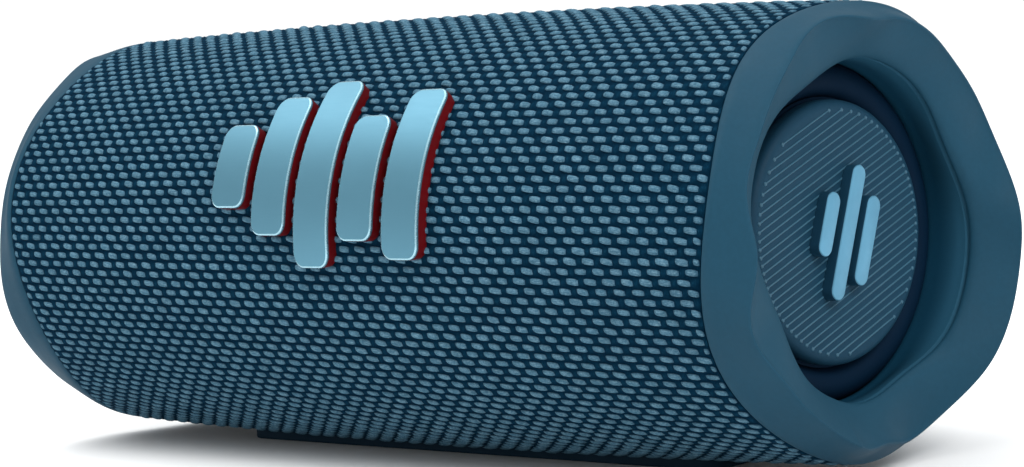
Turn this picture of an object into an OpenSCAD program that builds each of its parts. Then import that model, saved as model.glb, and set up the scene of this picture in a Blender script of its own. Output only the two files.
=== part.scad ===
// Portable cylindrical party speaker, lying on its rubber foot strip.
// X runs along the barrel, -Y is the front, +Z is up.
// The origin is the middle of the foot's flat underside.
// Most pieces are laid out in the barrel's own frame: axis on X, front badge
// on -Y, buttons on +Z. lay() then tips the barrel back and lifts it on the foot.

/* [Overall] */
// Length over both rims, at the average height of their lobes
length = 178; // [177:0.5:179]
// Height of the barrel's axis above the table
axis_h = 36.4; // [36.3:0.1:37]
// How far the barrel is tipped back on its foot, in degrees
tip = 22; // [18:1:26]

/* [Fabric sleeve] */
// Outer radius of the woven sleeve at the middle of the barrel
sleeve_r = 35.6; // [35.5:0.05:35.7]
// How much smaller that radius is at the two ends
sleeve_taper = 1.0; // [0.8:0.05:1.0]
// Thickness of the woven sleeve at its ends
sleeve_t = 0.4; // [0.3:0.05:0.4]
// Where the sleeve meets the rubber, measured from the middle
edge_x = 80.6; // [80.4:0.1:80.8]
// How far that edge waves in and out
edge_wave = 1.5; // [1.2:0.05:1.6]

/* [End caps] */
// Number of raised lobes round each rim
lobes = 4; // [3:1:5]
// Height of the even lobes of the rim
rim_wave = 1.2; // [0.8:0.1:1.4]
// How strongly the slower, uneven wave of the rim is drawn, 1 being full
rim_drift = 1.0; // [0.5:0.1:1]
// Radius of the recess wall round the radiator
recess_r = 27; // [26.6:0.1:27]

/* [Passive radiators] */
// Radius of the radiator disc
disc_r = 19.9; // [19.5:0.1:20.2]
// Thickness of the radiator disc
disc_t = 3.4; // [3:0.1:3.6]
// Radius of the tuning weight
weight_r = 12; // [10:0.5:13]

/* [Main driver] */
// Length of the racetrack driver's frame
woofer_l = 80; // [76:1:82]
// Width of the racetrack driver's frame
woofer_w = 45; // [43:1:45]
// Centre of the main driver along the barrel
woofer_x = -20; // [-21:1:-19]

/* [Tweeter] */
// Centre of the tweeter along the barrel
tweeter_x = 40; // [38:1:42]
// Radius of the tweeter's faceplate
tweeter_r = 14; // [13:0.5:15]

/* [Buttons] */
// Spacing of the four top buttons
button_gap = 18; // [17:0.5:19]
// How far the top button symbols stand above the sleeve's surface
button_proud = 0.9; // [0.7:0.1:1]

/* [Foot] */
// Width of the rubber foot strip
foot_w = 12; // [11:0.5:13]
// Length of the rubber foot strip
foot_l = 110; // [100:1:112]

/* [Hidden] */
$fn = 64;

frame_in = 33.2;             // inside radius of the grille frame
frame_out = sleeve_r - sleeve_taper - sleeve_t - 0.05;
end_r = sleeve_r - sleeve_taper;   // outer radius of the sleeve at its ends
shell_out = 30.5;            // outside radius of the acoustic box
shell_in = 29;
half_l = length / 2;

module lay() { translate([0, 0, axis_h]) rotate([-tip, 0, 0]) children(); }
module along_x(x0, x1) { translate([x0, 0, 0]) rotate([0, 90, 0]) linear_extrude(height = x1 - x0) children(); }
// a solid of revolution about the barrel's axis, drawn as [radius, x]
module round_x() { rotate([0, 90, 0]) rotate_extrude() children(); }
// a disc or ring on a front-facing driver: y0 is the back, y1 the front (both negative towards -Y)
module facing_front(y_back, t) { translate([0, y_back, 0]) rotate([90, 0, 0]) linear_extrude(height = t) children(); }
module facing_up(z0, t) { translate([0, 0, z0]) linear_extrude(height = t) children(); }
module track2d(l, w) {
  square([l - w, w], center = true);
  for (s = [-1, 1]) translate([s * (l - w) / 2, 0]) circle(d = w);
}
module round_rect(l, w, r) {
  square([l - 2 * r, w], center = true);
  square([l, w - 2 * r], center = true);
  for (i = [-1, 1], j = [-1, 1]) translate([i * (l / 2 - r), j * (w / 2 - r)]) circle(r = r);
}
module mirror_left() { mirror([1, 0, 0]) children(); }

// ---------- shapes that change round the axis ----------
// even lobes, broad on top and narrow between
function wave(t) = cos(lobes * t) - 0.29 * cos(2 * lobes * t);
// slower waves that make one lobe differ from the next
function drift(t) = rim_drift * (cos(t) - 0.48 * sin(t) + 0.56 * cos(2 * t) - 0.84 * sin(2 * t) - 1.37 * cos(3 * t) - 0.26 * cos(6 * t) + 0.13 * sin(6 * t));
// shorter ripples of the crest alone, in height and in radius
function ripple(t) = 0.6 * rim_drift * (0.12 * cos(t) - 0.11 * sin(t) - 0.34 * cos(2 * t) + 0.24 * sin(2 * t) - 0.3 * cos(3 * t) + 0.6 * sin(3 * t) - 0.69 * sin(5 * t)
  - 0.09 * cos(6 * t) - 0.29 * sin(6 * t) + 0.3 * cos(7 * t) + 0.28 * sin(7 * t) - 0.17 * cos(8 * t) - 0.33 * cos(10 * t) - 0.11 * sin(10 * t) + 0.19 * cos(12 * t) + 0.39 * sin(12 * t));
function swell(t) = 0.6 * rim_drift * (0.19 * sin(4 * t) + 0.52 * cos(8 * t) + 0.27 * sin(8 * t) - 0.39 * sin(12 * t));
function edge(t) = edge_x + edge_wave * cos(lobes * (t + 4));
function mid(a, b) = (a + b) / 2;
function bend(a, b, c, u) = (1 - u) * (1 - u) * a + 2 * u * (1 - u) * b + u * u * c;
// smooth line along a row of control points, q samples on each bend
function smooth(K, q) = concat([K[0]],
  [for (i = [1 : len(K) - 2], j = [1 : q])
    let (a = i == 1 ? K[0] : mid(K[i - 1], K[i]), c = i == len(K) - 2 ? K[len(K) - 1] : mid(K[i], K[i + 1]))
      bend(a, K[i], c, j / q)]);
// the closed section [x, radius] is walked clockwise, outer side first
module ring_of_sections(S) {
  n = len(S); m = len(S[0]);
  pts = [for (i = [0 : n - 1], q = S[i]) [q[0], -q[1] * cos(360 * i / n), q[1] * sin(360 * i / n)]];
  tris = [for (i = [0 : n - 1], j = [0 : m - 1])
    let (a = i * m + j, b = i * m + (j + 1) % m, c = ((i + 1) % n) * m + (j + 1) % m, d = ((i + 1) % n) * m + j)
      each [[a, d, c], [a, c, b]]];
  polyhedron(points = pts, faces = tris, convexity = 8);
}

// ---------- outer shell ----------
function cap_controls(t) = let (w = wave(t), g = drift(t), k = ripple(t), q = swell(t), xb = edge(t), xo = half_l - 5.2 + 0.65 * w + 0.6 * (g + k), ro = end_r - 0.95 - 0.25 * w + 0.4 * q,
    xc = min(half_l + 0.55, half_l - 1.85 + rim_wave * w + g + k), rc = 30.8 - 0.68 * w + q,
    xi = 82.4 + 0.12 * w + 0.2 * cos(2 * t + 50) + 0.2 * g, ri = 25.3 + 0.8 * w + 0.45 * sin(t - 30) + 0.4 * cos(2 * t - 30))
  [[xb, end_r - 0.3], [xb + 0.7, end_r + 0.02], [xo, ro], [xc, rc + 1.68], [xc - 0.8, rc + 1.0], [xi + 1.6 + 0.3 * g, ri + 1.5],
   [xi, ri - 0.1], [xi - 1.6, recess_r - 1.1], [76, recess_r - 0.2], [73.7, recess_r]];
function cap_section(t) = concat(smooth(cap_controls(t), 2), [[73.7, 33], [79 - 0.5, 33], [79 - 0.5, frame_out], [edge(t), frame_out]]);

module cap() { ring_of_sections([for (i = [0 : 71]) cap_section(i * 5)]); }
module end_cap_right() { color([0.17, 0.33, 0.41]) lay() cap(); }
module end_cap_left() { color([0.17, 0.33, 0.41]) lay() mirror_left() cap(); }

// the sleeve is a slight barrel
function sleeve_out(x) = sleeve_r - sleeve_taper * pow(x / 81, 2);
module fabric_sleeve() {
  color([0.10, 0.24, 0.34]) lay() difference() {
    ring_of_sections([for (i = [0 : 95]) let (e = edge(i * 3.75) - 0.12)
      concat([for (k = [-6 : 6]) let (x = k == 0 ? 0 : k * e / 6) [x, sleeve_out(x) - (abs(k) == 6 ? 0.12 : 0)]],
        [[e, frame_out + 0.05], [-e, frame_out + 0.05]])]);
    for (i = [-1.5 : 1 : 1.5]) translate([i * button_gap, 0, 30]) cylinder(r = 5.2, h = 8);
    translate([-12.2, 24, -17.2]) cube([24.4, 14, 34.4]);
    foot_studs(1.7);
  }
}
module foot_studs(r) {
  rotate([tip, 0, 0]) for (x = [-45, 0, 45]) translate([x, 0, -37.5]) cylinder(r = r, h = 6, $fn = 24);
}
module grille_frame() {
  color([0.06, 0.08, 0.10]) lay() difference() {
    along_x(-78.3, 78.3) circle(r = frame_out);
    along_x(-80, 80) circle(r = frame_in);
    // sound openings over the drivers
    for (i = [-5 : 5], j = [-2 : 2]) rotate([-j * 15, 0, 0]) translate([i * 12 - 4.5, -37, -3]) cube([9, 6, 6]);
    // openings at the back for the port air
    for (i = [-5, -4, -3, 3, 4, 5], j = [-1, 1]) rotate([-j * 12, 0, 0]) translate([i * 12 - 4.5, 31, -2.5]) cube([9, 6, 5]);
    for (i = [-1.5 : 1 : 1.5]) translate([i * button_gap, 0, 30]) cylinder(r = 5.3, h = 8);
    translate([-12.2, 24, -17.2]) cube([24.4, 14, 34.4]);
    foot_studs(1.6);
  }
}
module base_foot() {
  color([0.10, 0.20, 0.26]) {
      difference() {
        linear_extrude(height = 2.3) round_rect(foot_l, foot_w, 3);
        translate([-70, 0, axis_h]) rotate([0, 90, 0]) cylinder(r = sleeve_r + 0.04, h = 140, $fn = 360);
      }
      for (x = [-45, 0, 45]) translate([x, 0, 0.8]) cylinder(r = 1.5, h = axis_h - 33.4 - 0.8, $fn = 24);
  }
}

// ---------- passive radiators ----------
module radiator_frame() {
  difference() {
    along_x(70.1, 73.0) circle(r = 32.9);
    along_x(69, 74) circle(r = 23.5);
    for (k = [30, 150, 210, 330]) rotate([k, 0, 0]) translate([0, 0, 28.6]) rotate([0, 90, 0]) {
      translate([0, 0, 69]) cylinder(r = 0.95, h = 5, $fn = 24);
      translate([0, 0, 71.4]) cylinder(r = 1.9, h = 3, $fn = 24);
    }
  }
}
module radiator_screws() {
  for (k = [30, 150, 210, 330]) rotate([k, 0, 0]) translate([0, 0, 28.6]) rotate([0, 90, 0]) difference() {
    union() {
      translate([0, 0, 67.2]) cylinder(r = 0.85, h = 4.5, $fn = 24);
      translate([0, 0, 71.5]) cylinder(r = 1.75, h = 1.3, $fn = 24);
    }
    translate([0, 0, 72.1]) linear_extrude(height = 2) { square([1.9, 0.4], center = true); square([0.4, 1.9], center = true); }
  }
}
module radiator_surround() {
  round_x() difference() {
    union() {
      translate([25, 73.05]) square([2.8, 0.6]);
      translate([17, 74.2]) square([3.8, 0.75]);
      intersection() { translate([22.9, 73.6]) circle(r = 2.7, $fn = 48); translate([20, 73.6]) square([6, 4]); }
    }
    intersection() { translate([22.9, 73.6]) circle(r = 2.0, $fn = 48); translate([20, 73]) square([6, 4]); }
  }
}
module radiator_disc() {
  difference() {
    union() {
      along_x(75, 75 + disc_t - 0.3) circle(r = disc_r);
      along_x(75 + disc_t - 0.31, 75 + disc_t) circle(r = disc_r - 0.3);
    }
    along_x(75 + disc_t - 0.35, 80) difference() { circle(r = 18.55); circle(r = 18.15); }
  }
}
module level_bars2d(W, H, n) {
  hs = [0.5, 0.86, 1, 0.7, 0.42];
  p = W / n;
  for (i = [0 : n - 1]) translate([(i - (n - 1) / 2) * p, 0]) track_v(p * 0.66, H * hs[(i + (n == 3 ? 1 : 0)) % 5]);
}
module track_v(w, h) {
  square([w, h - w], center = true);
  for (s = [-1, 1]) translate([0, s * (h - w) / 2]) circle(d = w);
}
module radiator_emblem() {
  x0 = 75 + disc_t;
  // three upright level bars; the bars' height runs up the disc
  translate([x0, 0, 0]) rotate([90, 0, 90]) linear_extrude(height = 1.7)
    for (b = [[-4.6, 10], [0, 21], [4.6, 14]]) translate([b[0], 0]) track_v(3.1, b[1]);
}
module radiator_weight() {
  difference() {
    union() {
      along_x(68.5, 75) circle(r = weight_r);
      along_x(67.5, 68.5) circle(r = weight_r - 3);
    }
    along_x(67, 71) circle(r = 2);
  }
}
rubber_c = [0.12, 0.26, 0.34];
module radiator_frame_right() { color([0.10, 0.12, 0.14]) lay() radiator_frame(); }
module radiator_frame_left() { color([0.10, 0.12, 0.14]) lay() mirror_left() radiator_frame(); }
module radiator_screws_right() { color([0.6, 0.6, 0.62]) lay() radiator_screws(); }
module radiator_screws_left() { color([0.6, 0.6, 0.62]) lay() mirror_left() radiator_screws(); }
module radiator_surround_right() { color([0.05, 0.12, 0.17]) lay() radiator_surround(); }
module radiator_surround_left() { color([0.05, 0.12, 0.17]) lay() mirror_left() radiator_surround(); }
module radiator_disc_right() { color(rubber_c) lay() radiator_disc(); }
module radiator_disc_left() { color(rubber_c) lay() mirror_left() radiator_disc(); }
module radiator_emblem_right() { color([0.42, 0.64, 0.76]) lay() radiator_emblem(); }
module radiator_emblem_left() { color([0.42, 0.64, 0.76]) lay() mirror_left() radiator_emblem(); }
module radiator_weight_right() { color([0.5, 0.5, 0.52]) lay() radiator_weight(); }
module radiator_weight_left() { color([0.5, 0.5, 0.52]) lay() mirror_left() radiator_weight(); }

// ---------- acoustic box ----------
split_y = 4;                 // the halves meet on this plane
module shell_outer() {
  intersection() {
    along_x(-70, 70) circle(r = shell_out);
    translate([-75, -20, -35]) cube([150, 60, 70]);
  }
}
module shell_body() {
  difference() {
    shell_outer();
    difference() {
      intersection() {
        along_x(-66, 66) circle(r = shell_in);
        translate([-75, -18, -35]) cube([150, 60, 70]);
      }
      // floor under the button board, wall in front of the rear board
      translate([-42, -12, 25.8]) cube([84, 24, 1.5]);
      translate([-17, 24, -20]) cube([34, 1.5, 40]);
    }
    translate([-40, -10, 27.3]) cube([80, 20, 10]);
    translate([-15, 25.5, -18.5]) cube([30, 10, 37]);
    for (s = [-1, 1]) along_x(s * 68 - 3, s * 68 + 3) circle(r = 21);
    // driver openings in the baffle
    translate([woofer_x, 0, 0]) facing_front(-16, 6) track2d(woofer_l - 12, woofer_w - 10);
    translate([tweeter_x, 0, 0]) facing_front(-16, 6) circle(r = 10.6);
    screw_axes() translate([0, 0, -1]) cylinder(r = 0.9, h = 9, $fn = 24);
    for (s = [-1, 1], k = [30, 150, 210, 330]) rotate([k, 0, 0]) translate([s * 68.5 - 1.6, 0, 28.6]) rotate([0, 90, 0]) cylinder(r = 1.0, h = 3.2, $fn = 24);
    driver_screw_spots() cylinder(r = 0.75, h = 6, $fn = 24, center = true);
  }
}
// bosses for the screws that hold the two halves together
module screw_axes() {
  for (x = [-58, 58], s = [-1, 1]) translate([x, split_y - 4, s * 25.2]) rotate([-90, 0, 0]) children();
}
module bosses() {
  intersection() {
    screw_axes() translate([0, 0, -4]) cylinder(r = 2.6, h = 12, $fn = 32);
    along_x(-66, 66) circle(r = shell_in + 0.5);
  }
}
module driver_screw_spots() {
  for (i = [-1, 1], j = [-1, 1]) translate([woofer_x + i * 24, -20, j * 20]) rotate([90, 0, 0]) children();
  for (j = [-1, 1]) translate([tweeter_x + j * 12, -20, 0]) rotate([90, 0, 0]) children();
}
module board_spots() { for (i = [-1, 1], y = [7.5, 17.8]) translate([i * 44.4, y, 0]) children(); }
// posts that hang the main board from the roof of the box
module posts() {
  intersection() {
    board_spots() translate([0, 0, 15.65]) cylinder(r = 2.2, h = 14, $fn = 32);
    along_x(-66, 66) circle(r = shell_in + 0.5);
  }
}
module box_halves() {
  difference() {
    union() { shell_body(); bosses(); posts(); }
    board_spots() translate([0, 0, 15]) cylinder(r = 0.75, h = 4.5, $fn = 24);
    screw_axes() translate([0, 0, -6]) cylinder(r = 0.9, h = 14, $fn = 24);
    screw_axes() translate([0, 0, 6.8]) cylinder(r = 1.9, h = 24, $fn = 24);
  }
}
module enclosure_front() {
  color([0.13, 0.14, 0.16]) lay() intersection() { box_halves(); translate([-80, -40, -40]) cube([160, 40 + split_y - 0.4, 80]); }
}
module enclosure_rear() {
  color([0.16, 0.17, 0.19]) lay() intersection() { box_halves(); translate([-80, split_y + 0.4, -40]) cube([160, 40, 80]); }
}
module enclosure_seal() {
  color([0.05, 0.05, 0.05]) lay() difference() {
    translate([-69, split_y - 0.35, -29.9]) cube([138, 0.7, 59.8]);
    difference() {
      translate([-66.5, split_y - 1, -28.4]) cube([133, 2, 56.8]);
      // the strip dips under the button tray
      translate([-41.9, split_y - 1, 25.9]) cube([83.8, 2, 4]);
    }
    translate([-40.3, split_y - 1, 27.2]) cube([80.6, 2, 4]);
    for (s = [-1, 1]) along_x(s * 68 - 3, s * 68 + 3) circle(r = 21.3);
    screw_axes() cylinder(r = 1.2, h = 9, center = true, $fn = 24);
  }
}
module enclosure_screws() {
  color([0.6, 0.6, 0.62]) lay() screw_axes() {
    translate([0, 0, -2.2]) cylinder(r = 0.8, h = 9.2, $fn = 24);
    difference() {
      translate([0, 0, 6.9]) cylinder(r = 1.7, h = 1.3, $fn = 24);
      translate([0, 0, 7.6]) linear_extrude(height = 2) { square([1.8, 0.4], center = true); square([0.4, 1.8], center = true); }
    }
  }
}

// ---------- main driver ----------
module at_woofer() { lay() translate([woofer_x, 0, 0]) children(); }
module woofer_frame() {
  color([0.2, 0.2, 0.22]) at_woofer() difference() {
    union() {
      facing_front(-20.3, 1.4) track2d(woofer_l, woofer_w);
      facing_front(-8.2, 12.2) track2d(woofer_l - 13, woofer_w - 11);
    }
    facing_front(-9.4, 15) track2d(woofer_l - 16, woofer_w - 14);
    facing_front(-4, 8) circle(r = 13.2);
    for (s = [-1, 1]) translate([s * 20 - 6, -17.5, -30]) cube([12, 6, 60]);
    translate([-45, -17.5, -6]) cube([90, 6, 12]);
    translate([-woofer_x, 0, 0]) driver_screw_spots() cylinder(r = 0.85, h = 6, $fn = 24, center = true);
  }
}
module woofer_gasket() {
  color([0.04, 0.04, 0.04]) at_woofer() difference() {
    facing_front(-20.02, 0.26) track2d(woofer_l - 0.4, woofer_w - 0.4);
    facing_front(-19, 3) track2d(woofer_l - 9, woofer_w - 8);
    translate([-woofer_x, 0, 0]) driver_screw_spots() cylinder(r = 0.85, h = 6, $fn = 24, center = true);
  }
}
module head_screw(l) {
  translate([0, 0, -l]) cylinder(r = 0.65, h = l + 0.1, $fn = 24);
  difference() {
    cylinder(r = 1.45, h = 1.0, $fn = 24);
    translate([0, 0, 0.5]) linear_extrude(height = 2) { square([1.5, 0.35], center = true); square([0.35, 1.5], center = true); }
  }
}
module woofer_screws() {
  color([0.6, 0.6, 0.62]) lay() for (i = [-1, 1], j = [-1, 1])
    translate([woofer_x + i * 24, -21.75, j * 20]) rotate([90, 0, 0]) head_screw(3.4);
}
// half-round roll that follows the racetrack, with flat lips both sides
module woofer_surround() {
  c = (woofer_l - woofer_w) / 2; rr = 15.4;  // straight half-length, radius of the roll's crown line
  color([0.07, 0.07, 0.08]) at_woofer() translate([0, -21.75, 0]) rotate([90, 0, 0]) {
    for (s = [-1, 1]) translate([s * c, 0, 0]) rotate([0, 0, -90 * s]) rotate_extrude(angle = 180) roll2d(rr);
    for (s = [-1, 1]) translate([-c, 0, 0]) rotate([90, 0, 90]) linear_extrude(height = 2 * c) mirror([s > 0 ? 1 : 0, 0]) roll2d(rr);
  }
}
module roll2d(rr) {
  difference() {
    union() { translate([rr - 3, 0]) square([5.9, 0.4]); intersection() { translate([rr, 0]) circle(r = 2.1, $fn = 32); translate([rr - 3, 0]) square([6, 3]); } }
    intersection() { translate([rr, 0]) circle(r = 1.7, $fn = 32); translate([rr - 3, -1]) square([6, 3]); }
  }
}
module woofer_cone() {
  color([0.10, 0.10, 0.11]) at_woofer() difference() {
    hull() { facing_front(-21.0, 0.35) scale_track(0); facing_front(-14.5, 0.4) circle(r = 10.6, $fn = 48); }
    hull() { facing_front(-21.36, 0.5) scale_track(0.7); facing_front(-14.9, 0.4) circle(r = 9.2, $fn = 48); }
    facing_front(-10, 8) circle(r = 9.2, $fn = 48);
  }
}
module scale_track(d) {
  c = (woofer_l - woofer_w) / 2;
  square([2 * c, 26.6 - 2 * d], center = true);
  for (s = [-1, 1]) translate([s * c, 0]) circle(r = 13.3 - d, $fn = 48);
}
module woofer_dust_cap() {
  color([0.14, 0.14, 0.15]) at_woofer() translate([0, -15.45, 0]) rotate([90, 0, 0]) difference() {
    intersection() { translate([0, 0, -12]) sphere(r = 15.1, $fn = 64); cylinder(r = 9.15, h = 6); }
    intersection() { translate([0, 0, -12]) sphere(r = 14.6, $fn = 64); translate([0, 0, -1]) cylinder(r = 8.6, h = 6); }
  }
}
module woofer_voice_coil() {
  color([0.75, 0.45, 0.25]) at_woofer() difference() {
    facing_front(-5.6, 9.7) circle(r = 9.15);
    facing_front(-4, 14) circle(r = 8.75);
  }
}
module woofer_spider() {
  color([0.75, 0.62, 0.35]) at_woofer() facing_front(-10.6, 0.4) difference() { circle(r = 14.6); circle(r = 9.2); }
}
module woofer_yoke() {
  color([0.45, 0.45, 0.47]) at_woofer() difference() {
    facing_front(0, 9) circle(r = 13);
    facing_front(-1.5, 12) circle(r = 10);
  }
}
module woofer_magnet() { color([0.3, 0.3, 0.32]) at_woofer() facing_front(-1.5, 4.5) circle(r = 8.2); }
module woofer_pole_plate() { color([0.5, 0.5, 0.52]) at_woofer() facing_front(-6, 2.4) circle(r = 8.4); }

// ---------- tweeter ----------
module at_tweeter() { lay() translate([tweeter_x, 0, 0]) children(); }
module tweeter_faceplate() {
  color([0.2, 0.2, 0.22]) at_tweeter() difference() {
    union() { facing_front(-20.05, 1.5) circle(r = tweeter_r); facing_front(-14, 6.1) circle(r = 10.4); }
    facing_front(-12, 12) circle(r = 8.6);
    translate([-tweeter_x, 0, 0]) driver_screw_spots() cylinder(r = 0.85, h = 6, $fn = 24, center = true);
  }
}
module tweeter_dome() {
  color([0.35, 0.37, 0.42]) at_tweeter() translate([0, -19.3, 0]) rotate([90, 0, 0]) {
    difference() {
      intersection() { translate([0, 0, -6]) sphere(r = 9.5); cylinder(r = 7.3, h = 5); }
      intersection() { translate([0, 0, -6]) sphere(r = 9.2); translate([0, 0, -0.1]) cylinder(r = 6.9, h = 5); }
    }
    rotate_extrude() translate([7.25, 0]) square([0.9, 0.35]);
    translate([0, 0, -2.2]) linear_extrude(height = 2.3) difference() { circle(r = 7.3); circle(r = 6.95); }
  }
}
module tweeter_magnet() {
  color([0.3, 0.3, 0.32]) at_tweeter() union() {
    facing_front(-12, 2.0) circle(r = 10.4);
    facing_front(-13.9, 3.2) circle(r = 6.4);
  }
}
module tweeter_screws() {
  color([0.6, 0.6, 0.62]) lay() for (j = [-1, 1]) translate([tweeter_x + j * 12, -21.6, 0]) rotate([90, 0, 0]) head_screw(3.3);
}

// ---------- power and boards ----------
module battery_cell() {
  color([0.15, 0.45, 0.35]) lay() translate([-35, 11, -14]) rotate([0, 90, 0]) {
    cylinder(r = 10.5, h = 70);
    translate([0, 0, 69.9]) cylinder(r = 3.5, h = 1.1);
  }
}
module battery_clips() {
  color([0.72, 0.66, 0.42]) lay() for (s = [-1, 1]) {
    translate([s < 0 ? -35.8 : 36.2, 5, -20]) cube([0.6, 12, 12]);
    translate([s * 24 - 2, 0, 0]) along_x(0, 4) difference() {
      intersection() {
        translate([14, 11]) circle(r = 11.1);
        translate([6, -2]) square([22, 24.4]);
      }
      translate([14, 11]) circle(r = 10.55);
      translate([-2, -2]) square([16, 30]);
    }
  }
}
module main_board() {
  color([0.05, 0.28, 0.2]) lay() difference() {
    translate([-48, 2, 14]) cube([96, 19, 1.6]);
    board_spots() translate([0, 0, 12]) cylinder(r = 1.1, h = 6, $fn = 24);
  }
}
module main_board_chips() {
  color([0.08, 0.08, 0.09]) lay() {
    translate([-32, 5, 15.65]) cube([12, 12, 1.2]);
    translate([-6, 6, 15.65]) cube([8, 8, 1.0]);
    translate([14, 5, 15.65]) cube([7, 5, 1.5]);
    for (i = [0 : 3]) translate([27 + i * 4.5, 12, 15.65]) cylinder(r = 1.9, h = 4, $fn = 24);
  }
}
module board_screws() {
  color([0.6, 0.6, 0.62]) lay() board_spots() translate([0, 0, 13.95]) mirror([0, 0, 1]) head_screw(4.2);
}
module button_board() {
  color([0.05, 0.28, 0.2]) lay() translate([-38, -7, 27.4]) cube([76, 14, 1.1]);
}
module button_switches() {
  color([0.65, 0.66, 0.68]) lay() for (i = [-1.5 : 1 : 1.5]) translate([i * button_gap, 0, 28.55]) {
    translate([-2, -2, 0]) cube([4, 4, 1.0]);
    cylinder(r = 1.1, h = 1.35, $fn = 24);
  }
}
// top button: flange under the frame, shaft through it, symbol on top
module top_button(k) {
  lay() translate([(k - 1.5) * button_gap, 0, 0]) {
    facing_up(30.6, 1.2) circle(r = 5.8);
    facing_up(31.7, sleeve_r - 31.7 + 0.05) circle(r = 4.9);
    facing_up(sleeve_r, button_proud) children();
  }
}
module plus2d() { square([7.6, 1.7], center = true); square([1.7, 7.6], center = true); }
module party_button() { color([0.30, 0.50, 0.60]) top_button(0) { difference() { circle(r = 4.1); circle(r = 3.0); } circle(r = 1.4); } }
module volume_down_button() { color([0.30, 0.50, 0.60]) top_button(1) square([7.6, 1.7], center = true); }
module volume_up_button() { color([0.30, 0.50, 0.60]) top_button(2) plus2d(); }
module play_button() { color([0.30, 0.50, 0.60]) top_button(3) polygon([[-2.6, -3.6], [3.8, 0], [-2.6, 3.6]]); }

// ---------- rear controls ----------
module rear_slab(r0, r1, dx, z0, z1) {
  intersection() {
    along_x(-dx, dx) difference() { circle(r = r1); circle(r = r0); }
    translate([-dx, 20, z0]) cube([2 * dx, 30, z1 - z0]);
  }
}
usb_z = -10.5;
module rear_panel() {
  color([0.10, 0.20, 0.26]) lay() difference() {
    rear_slab(33.4, 36.1, 12, -17, 17);
    for (z = [11, 2.5]) translate([0, 30, z]) rotate([-90, 0, 0]) cylinder(r = 3.3, h = 8);
    translate([-6.1, 30, -4.1]) cube([12.2, 8, 1.4]);
    translate([0, 40, usb_z]) rotate([90, 0, 0]) linear_extrude(height = 12) track2d(9.3, 3.6);
  }
}
module rear_board() { color([0.05, 0.28, 0.2]) lay() translate([-13, 25.7, -16]) cube([26, 1.0, 31]); }
module rear_switches() {
  color([0.65, 0.66, 0.68]) lay() for (z = [11, 2.5]) translate([0, 26.75, z]) rotate([-90, 0, 0]) {
    translate([-2, -2, 0]) cube([4, 4, 0.9]);
    cylinder(r = 1.1, h = 1.1, $fn = 24);
  }
}
module rear_button(z) {
  lay() intersection() {
    translate([0, 28.4, z]) rotate([-90, 0, 0]) union() { cylinder(r = 3.15, h = 9); cylinder(r = 4.2, h = 1.1); }
    along_x(-10, 10) circle(r = 36.5);
  }
}
module power_button() { color([0.22, 0.40, 0.48]) rear_button(11); }
module pairing_button() { color([0.22, 0.40, 0.48]) rear_button(2.5); }
module battery_light() { color([0.9, 0.93, 0.95]) lay() intersection() { translate([-6, 31, -4]) cube([12, 6, 1.2]); along_x(-10, 10) circle(r = 36.2); } }
module usb_c_port() {
  color([0.7, 0.7, 0.72]) lay() translate([0, 0, usb_z]) {
    difference() {
      translate([0, 34.2, 0]) rotate([90, 0, 0]) linear_extrude(height = 7.45) track2d(9.1, 3.4);
      translate([0, 35.2, 0]) rotate([90, 0, 0]) linear_extrude(height = 7.6) track2d(8.4, 2.7);
    }
    translate([-3.1, 27.4, -0.35]) cube([6.2, 5.4, 0.7]);
  }
}

// ---------- front badge: five upright level bars ----------
badge_x = 1.2;
module badge_bars(r0, r1, g) {
  bars = [[-20.6, 14, 1.5], [-10.3, 23, 2], [0, 30.4, 0], [10.3, 20, -2.5], [20.6, 27, -0.8]];
  intersection() {
    along_x(-40, 40) difference() { circle(r = r1, $fn = 96); circle(r = r0, $fn = 96); }
    for (b = bars) translate([badge_x + b[0], 0, b[2] * 0.5]) facing_front(-20, 30) bar2d(8.2 - 2 * g, b[1] - 2 * g, 2.2);
  }
}
module bar2d(w, h, r) { round_rect(w, h, r); }
module badge_backing() { color([0.42, 0.06, 0.08]) lay() badge_bars(sleeve_r + 0.03, 37.0, 0); }
module badge_face() { color([0.47, 0.66, 0.74]) lay() badge_bars(37.03, 37.5, 0.12); }

fabric_sleeve();
grille_frame();
end_cap_left();
end_cap_right();
radiator_frame_left();
radiator_frame_right();
radiator_screws_left();
radiator_screws_right();
radiator_surround_left();
radiator_surround_right();
radiator_disc_left();
radiator_disc_right();
radiator_emblem_left();
radiator_emblem_right();
radiator_weight_left();
radiator_weight_right();
enclosure_front();
enclosure_rear();
enclosure_seal();
enclosure_screws();
woofer_frame();
woofer_gasket();
woofer_screws();
woofer_surround();
woofer_cone();
woofer_dust_cap();
woofer_voice_coil();
woofer_spider();
woofer_yoke();
woofer_magnet();
woofer_pole_plate();
tweeter_faceplate();
tweeter_dome();
tweeter_magnet();
tweeter_screws();
battery_cell();
battery_clips();
main_board();
main_board_chips();
board_screws();
button_board();
button_switches();
party_button();
volume_down_button();
volume_up_button();
play_button();
rear_panel();
rear_board();
rear_switches();
power_button();
pairing_button();
battery_light();
usb_c_port();
badge_backing();
badge_face();
base_foot();
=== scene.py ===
import math
import bpy
import numpy as np
from mathutils import Matrix, Vector

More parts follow.
